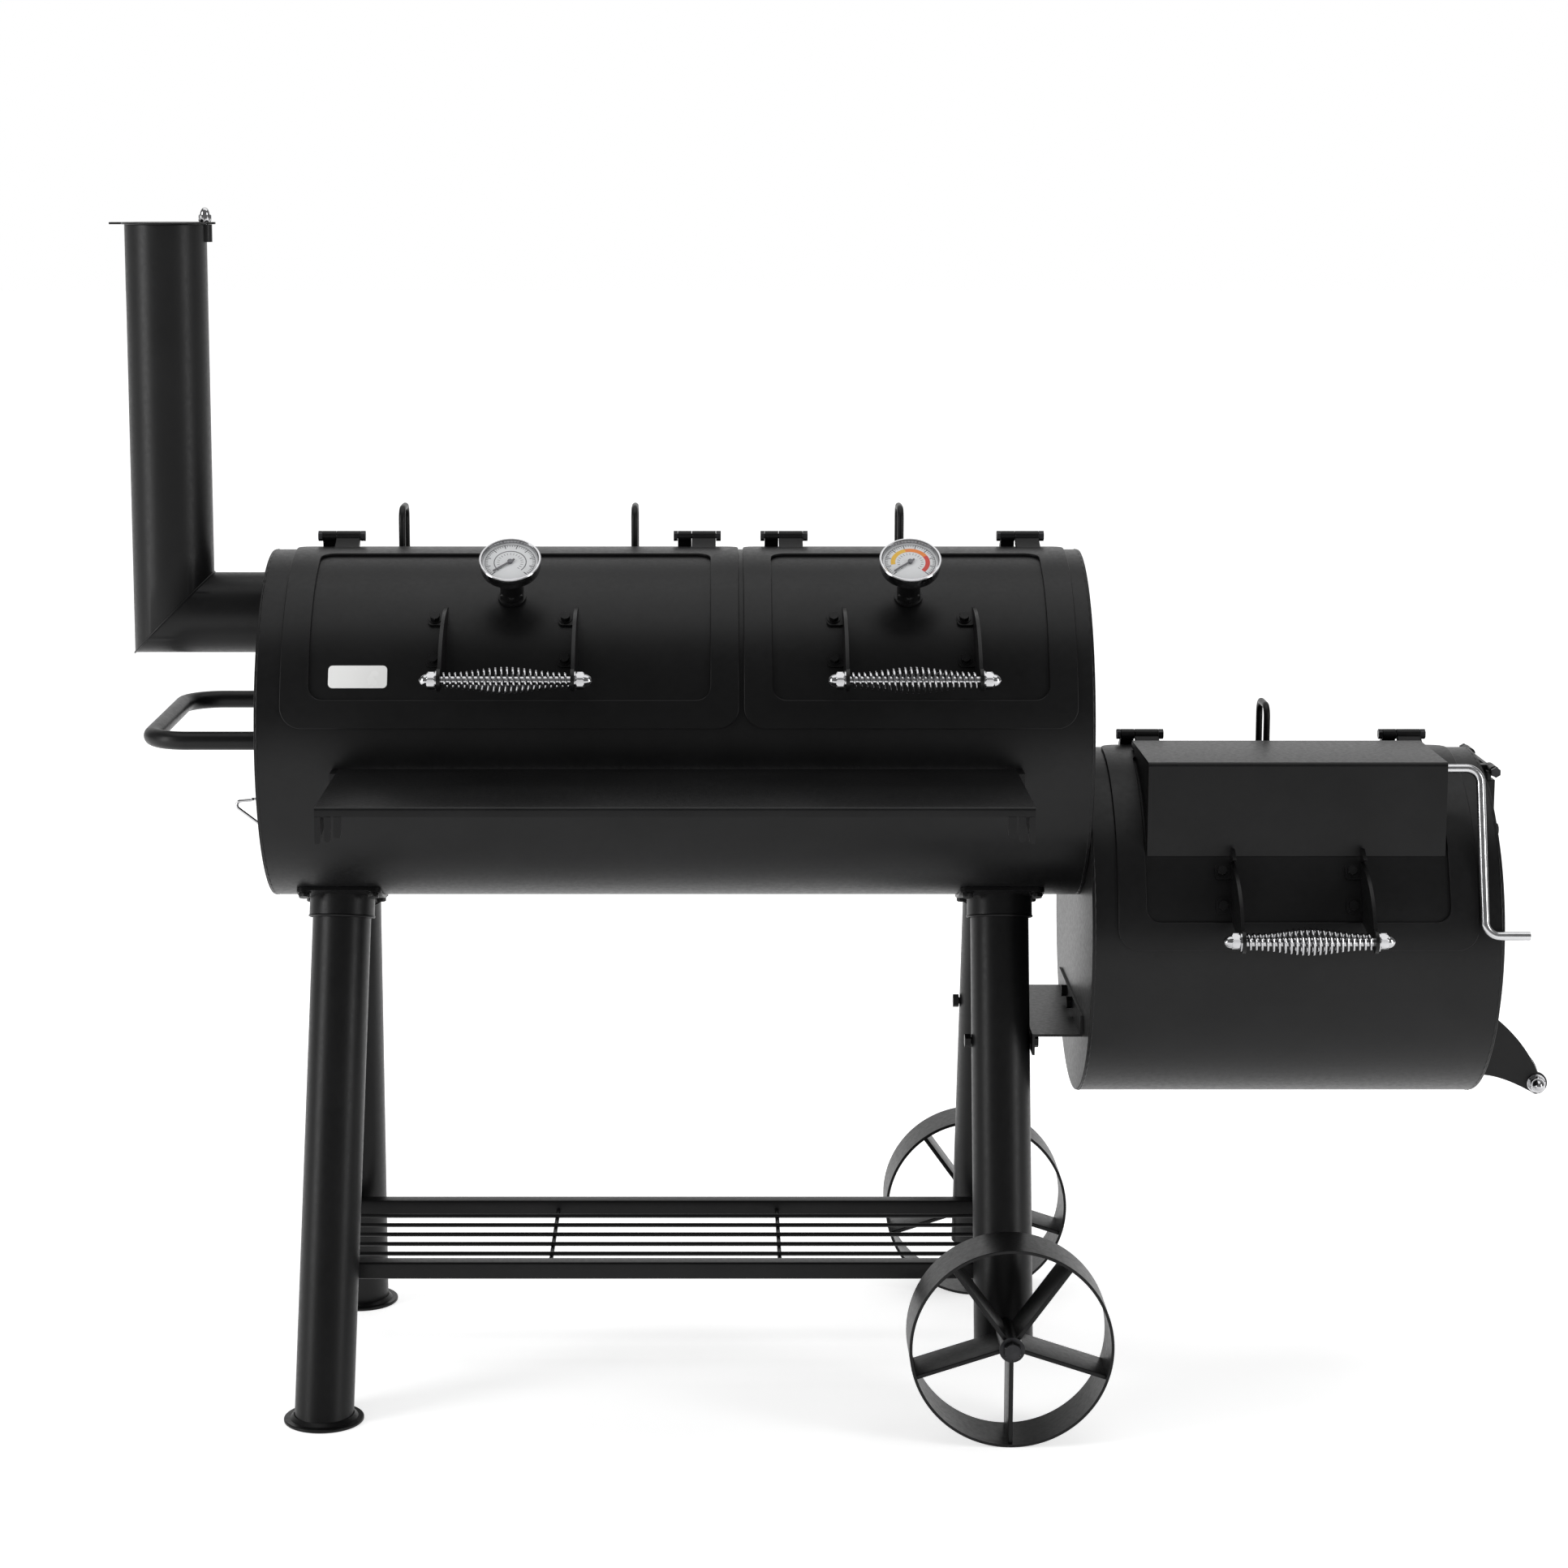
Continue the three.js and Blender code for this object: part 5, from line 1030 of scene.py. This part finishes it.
def leg_socket(leg):
    """Curved saddle plate under the chamber, a collar whose upper edge follows the barrel, a rolled
    bead at the collar's lower edge, and four hexagon bolts."""
    side, x = leg[0], leg[1]
    turn = -90 - side * math.degrees(LEG_TILT)
    saddle = outline(x - SADDLE_HALF, x + SADDLE_HALF, arc(turn) - SADDLE_HALF,
                     arc(turn) + SADDLE_HALF, 9, n_x=10, n_s=10)
    spot = np.array([x, arc(turn)])
    hole = spot + 30 * unit(saddle - spot)
    solids = [barrel_band(saddle, hole, R + 0.3, R + 4.3, CHAMBER_Z, 8)]
    collar_end = R + 26

    def wall(radius):
        """Lower edge of the collar at a radius, and the same points moved back up the leg until
        y^2 + z^2 = (R + 2.5)^2 about the chamber's axis."""
        rim, d = leg_ring(leg, collar_end, radius)
        y, z = rim[:, 1], rim[:, 2] - CHAMBER_Z
        b = y * d[1] + z * d[2]
        far = y ** 2 + z ** 2 - (R + 2.5) ** 2
        back = b - np.sqrt(np.maximum(b ** 2 - far, 0))
        return rim, rim - back[:, None] * d

    rim_out, top_out = wall(LEG_R + 4)
    rim_in, top_in = wall(LEG_R + 0.4)
    solids.append(patch(np.stack([top_out, rim_out, rim_in, top_in], 1), wrap_u=True, wrap_v=True))
    bead, d = leg_ring(leg, collar_end, LEG_R + 3.4)
    solids.append(sweep(np.vstack([bead, bead[:1]]), d, 1.6, 8))
    for dx in (-40, 40):
        for da in (-1, 1):
            spot_turn = turn + da * (deg(SADDLE_HALF) - 2.6)
            direction = np.append(0, polar(1, spot_turn))
            foot = np.array([x + dx, *(polar(R + 4.3, spot_turn) + (0, CHAMBER_Z))])
            solids += washer_bolt(foot, direction, 8, 1.2, 12)
    return solids


for name, leg in LEGS.items():
    solids = [leg_tube(leg)]
    if not leg[3]:
        foot = leg_point(leg, math.hypot(FOOT_Y, CHAMBER_Z))
        plate = [(0.5, 0), (45, 0), (46, 0.8), (46, 3.2), (45, 4), (0.5, 4)]
        solids.append(turned(plate, (foot[0], foot[1], 0), AXIS_Z, 72))
        weld = [(35.4, 4), (39.4, 4), (35.8, 7.4), (34.6, 8)]
        solids.append(turned(weld, (foot[0] + 0.1, foot[1] - leg[0], 0), AXIS_Z, 72, ring=True))
    coated("leg_tube_" + name, solids, "frame", ["leg_" + name], bevel=0.3)
    coated("saddle_" + name, leg_socket(leg), "frame", ["leg_socket_" + name], bevel=0.4)

# ---- wheels -------------------------------------------------------------------------------------

def flat_bar(start, direction, length, wide, thick, width_way):
    """Bar of a rounded rectangular section carried straight: the section's corners are quarter
    circles of radius 1."""
    t = np.linspace(0, np.pi / 2, 4)
    corner = np.column_stack([np.cos(t), np.sin(t)])
    loop = []
    for k, (sx, sy) in enumerate(((1, 1), (-1, 1), (-1, -1), (1, -1))):
        turn = np.array([[math.cos(k * np.pi / 2), math.sin(k * np.pi / 2)],
                         [-math.sin(k * np.pi / 2), math.cos(k * np.pi / 2)]])
        loop.append(corner @ turn + (sx * (wide / 2 - 1), sy * (thick / 2 - 1)))
    loop = np.vstack(loop)
    d, w = unit(direction), unit(width_way)
    across = np.cross(d, w)
    ring = loop[:, :1] * w + loop[:, 1:] * across
    P = np.asarray(start, float) + ring[:, None] + np.linspace(0, length, 4)[None, :, None] * d
    return patch(P, wrap_u=True, cap_v=True)


SPOKES, SPOKE_START, SPOKE_LONG, SPOKE_WIDE, SPOKE_THICK = 5, 12, 100.2, 60, 5
for name, side in (("front_wheel", -1), ("back_wheel", 1)):
    outer, inner = side * 298.0, side * 228.0
    y0, y1 = sorted((outer, inner))
    axis = (AXLE_X, 0, WHEEL_R)
    rim = turned([(111.6, y0), (114.4, y0), (WHEEL_R, y0 + 0.6), (WHEEL_R, y1 - 0.6), (114.4, y1),
                  (111.6, y1)], axis, AXIS_Y, 144, ring=True)
    h0, h1 = sorted((outer - side, outer - side * 63))
    hub = turned([(8.4, h0), (12.6, h0), (13, h0 + 0.5), (13, h1 - 0.5), (12.6, h1), (8.4, h1)],
                 axis, AXIS_Y, 48, ring=True)
    solids = [rim, hub]
    middle = np.array([AXLE_X, (y0 + y1) / 2, WHEEL_R])
    for k in range(SPOKES):
        a = -np.pi / 2 + 2 * np.pi * k / SPOKES
        way = np.array([math.cos(a), 0, math.sin(a)])
        solids.append(flat_bar(middle + way * SPOKE_START, way, SPOKE_LONG, SPOKE_WIDE, SPOKE_THICK,
                               AXIS_Y))
    coated(name + "_band", solids, name,
           ["wheel_front" if side < 0 else "wheel_back"])

axle = [turned([(7.2, -305.5), (8, -304.5), (8, 304.5), (7.2, 305.5)], (AXLE_X, 0, WHEEL_R), AXIS_Y,
               32)]
for side in (-1, 1):
    way = (0, side, 0)
    axle.append(collar(8, 14.5, (0, 1.2), (AXLE_X, side * 298.6, WHEEL_R), way, 40))
    axle.append(hexagon((AXLE_X, side * 299.8, WHEEL_R), way, 18, 8))
piece("axle_rod", axle, ZINC, "frame", ["axle"])

# ---- rack ---------------------------------------------------------------------------------------

def square_tube(x0, x1, y, z, size, wall=1.8, corner=2.5):
    """Hollow square tube along X: a rounded square outside and a smaller one inside."""
    outer = outline(y - size / 2, y + size / 2, z - size / 2, z + size / 2, corner, 5, 2, 2)
    half = size / 2 - wall
    inner = outline(y - half, y + half, z - half, z + half, max(corner - wall, 0.4), 5, 2, 2)
    return ring_plate(outer, inner, x0, x1)


for name in ("rack_front_rail", "rack_back_rail"):
    low, high = drawn_box(name)
    tube = square_tube(low[0], high[0], (low[1] + high[1]) / 2, (low[2] + high[2]) / 2,
                       high[1] - low[1])
    coated(name + "_tube", [tube], "frame", [name])
low, high = drawn_box("rack_grate")
rods = []
rod_z = high[2] - 2.5
for k in range(5):
    y = low[1] + (high[1] - low[1]) * (k + 1) / 6
    rods.append(sweep([(x, y, rod_z) for x in np.linspace(low[0], high[0], 6)], AXIS_Z, 2.5, 14))
for x in np.linspace(low[0] + 4, high[0] - 4, 4):
    line = [(x, y, rod_z - 4.6) for y in np.linspace(low[1], high[1], 6)]
    rods.append(sweep(line, AXIS_Z, 2.5, 14))
coated("rack_rods", rods, "frame", ["rack_grate"])

# ---- shelf --------------------------------------------------------------------------------------

fold = bent([(0, SHELF_Y[1] + 1, SHELF_Z - 8), (0, SHELF_Y[1] + 1, SHELF_Z - 1),
             (0, SHELF_Y[0] + 1, SHELF_Z - 1), (0, SHELF_Y[0] + 1, SHELF_Z - 10)], 2.2, 5)[:, 1:]
shelf = [folded(fold, *SHELF_X)]
for x, inward in ((SHELF_X[0], 1), (SHELF_X[1], -1)):
    a, b = sorted((x, x + inward * 3))
    shelf.append(prism([(SHELF_Y[0] + 2, SHELF_Z - 1.5), (SHELF_Y[0] + 2, SHELF_Z - 39),
                        (SHELF_Y[0] + 26, SHELF_Z - 39), (SHELF_Y[0] + 60, SHELF_Z - 33),
                        (SHELF_Y[1], SHELF_Z - 22), (SHELF_Y[1], SHELF_Z - 1.5)], a, b))
    for near, far, drop in ((0, 6.5, 39), (10, 17, 37), (20, 28, 33)):
        a, b = sorted((x + inward * near, x + inward * far))
        low_z = SHELF_Z - drop
        tip = [(a, low_z + 3), (a + 1, low_z + 0.8), ((a + b) / 2, low_z), (b - 1, low_z + 0.8),
               (b, low_z + 3), (b, SHELF_Z - 9), (a, SHELF_Z - 9)]
        prong = [np.array([(px, y, pz) for px, pz in tip]) for y in (SHELF_Y[0], SHELF_Y[0] + 3)]
        shelf.append(patch(np.stack(prong, 1), wrap_u=True, cap_v=True))
coated("folding_shelf", shelf, "shelf", ["front_shelf"], bevel=0.5)

# ---- side handle and ring -----------------------------------------------------------------------

HANDLE_HALF, HANDLE_OUT, HANDLE_BEND, HANDLE_R = 155, 127, 45, 10.5
hx, hz = CHAMBER_X[0] - 0.3, CHAMBER_Z + 3
far_x = hx - HANDLE_OUT
path = bent([(hx, -HANDLE_HALF, hz), (far_x, -HANDLE_HALF, hz), (far_x, HANDLE_HALF, hz),
             (hx, HANDLE_HALF, hz)], HANDLE_BEND, 20)
handle = [sweep(path, AXIS_Z, HANDLE_R, 28)]
flange = [(10.6, -5), (14, -4.6), (16.5, -2), (16.5, 0), (10.6, 0)]
for y in (-HANDLE_HALF, HANDLE_HALF):
    handle.append(turned(flange, (hx, y, hz), AXIS_X, 48, ring=True))
coated("side_handle_tube", handle, "frame", ["side_handle"])

wire = 1.8
ex, ey, ez = eye_at
path = bent([(ex - 12, ey, ez), (ex - 38, ey, ez - 2), (CHAMBER_X[0] - wire - 0.6, ey, ez - 36),
             (ex - 2, ey, ez - 9)], 5, 8)
pivot = [(ex, y, ez) for y in np.linspace(ey - 8, ey + 8, 5)]
arm = bent([(ex, ey + 6, ez), (ex - 13, ey + 6, ez), (ex - 13, ey - 1, ez)], 3, 6)
ring = [sweep(line, side, wire, 12)
        for line, side in ((path, AXIS_Y), (pivot, AXIS_X), (arm, AXIS_Z))]
piece("hook_wire", ring, CHROME, "hook_ring", ["hook_ring"])

# ---- finishes of the kept CAD nodes -------------------------------------------------------------

KEPT = {"zinc_bolts": ZINC, "grate_iron": IRON, "black_coat": COAT, "needle_black": INK}
slot_of = {s["node"]: s["material_slot"] for s in frame["record"]["subparts"]}
for name, thing in NODES.items():
    if slot_of.get(name) in KEPT:
        thing.data.materials.clear()
        thing.data.materials.append(KEPT[slot_of[name]])

# ---- floor, light and camera --------------------------------------------------------------------

# The floor glows a little more with the distance from the part, so its far edge is as pale as the
# world behind it and the shadows near the feet still show.
floor_material = bpy.data.materials.new("pale_floor")
floor_material.use_nodes = True
tree = floor_material.node_tree
shader = tree.nodes["Principled BSDF"]
for socket, value in (("Base Color", (0.82, 0.82, 0.82, 1)), ("Roughness", 0.95),
                      ("Specular IOR Level", 0.1), ("Emission Color", (1, 1, 1, 1))):
    shader.inputs[socket].default_value = value
spot = node_of(tree, "ShaderNodeTexCoord")
length = node_of(tree, "ShaderNodeVectorMath", operation="LENGTH")
tree.links.new(spot.outputs["Object"], length.inputs[0])
tree.links.new(spanned(tree, length.outputs["Value"], (0.5, 2.6), (0.66, 0.96), smooth=True),
               shader.inputs["Emission Strength"])
FLOOR = 40
floor_mesh = bpy.data.meshes.new("studio_floor")
floor_mesh.from_pydata([(-FLOOR, -FLOOR, 0), (FLOOR, -FLOOR, 0), (FLOOR, FLOOR, 0),
                        (-FLOOR, FLOOR, 0)], [], [(0, 1, 2, 3)])
floor_mesh.materials.append(floor_material)
studio_floor = bpy.data.objects.new("studio_floor", floor_mesh)
bpy.context.scene.collection.objects.link(studio_floor)

# The world is white behind the part and dim in front of it, so that the black coat stays black.
world = bpy.data.worlds.new("studio")
bpy.context.scene.world = world
world.use_nodes = True
sky = world.node_tree
background = sky.nodes["Background"]
heading = node_of(sky, "ShaderNodeTexCoord")
split = node_of(sky, "ShaderNodeSeparateXYZ")
sky.links.new(heading.outputs["Generated"], split.inputs["Vector"])
sky.links.new(spanned(sky, split.outputs["Y"], (0.45, 0.93), (0.19, 1.0), smooth=True),
              background.inputs["Strength"])
background.inputs["Color"].default_value = (1, 1, 1, 1)
bpy.context.scene.view_settings.view_transform = "Standard"


def soft_light(name, at, target, size, power):
    """A rectangular area light that faces its target."""
    data = bpy.data.lights.new(name, "AREA")
    data.shape = "RECTANGLE"
    data.size, data.size_y = size
    data.energy = power
    lamp = bpy.data.objects.new(name, data)
    lamp.location = at
    lamp.rotation_euler = (Vector(target) - Vector(at)).to_track_quat("-Z", "Y").to_euler()
    bpy.context.scene.collection.objects.link(lamp)


soft_light("left_box", (-3.6, -1.6, 1.6), (-0.3, 0, 0.8), (1.1, 2.6), 62)
soft_light("right_box", (3.4, -2.0, 1.6), (0.2, 0, 0.8), (1.0, 2.6), 50)
soft_light("top_box", (0, 0.2, 3.9), (0, 0, 0.6), (4.6, 3.0), 62)

camera_data = bpy.data.cameras.new("camera")
CAMERA_AT = (0.04421, -3.91824, 1.40993)   # metres from the drawing's zero
CAMERA_DOWN = 8.73                         # degrees below level
camera_data.lens = 77.34
camera_data.sensor_width = 36
camera_data.shift_x = 0.0445
camera_data.shift_y = -0.0549
camera_data.clip_end = 200
camera = bpy.data.objects.new("camera", camera_data)
camera.location = np.array(CAMERA_AT) + ORIGIN
camera.rotation_euler = (math.radians(90 - CAMERA_DOWN), 0, 0)
bpy.context.scene.collection.objects.link(camera)
bpy.context.scene.camera = camera
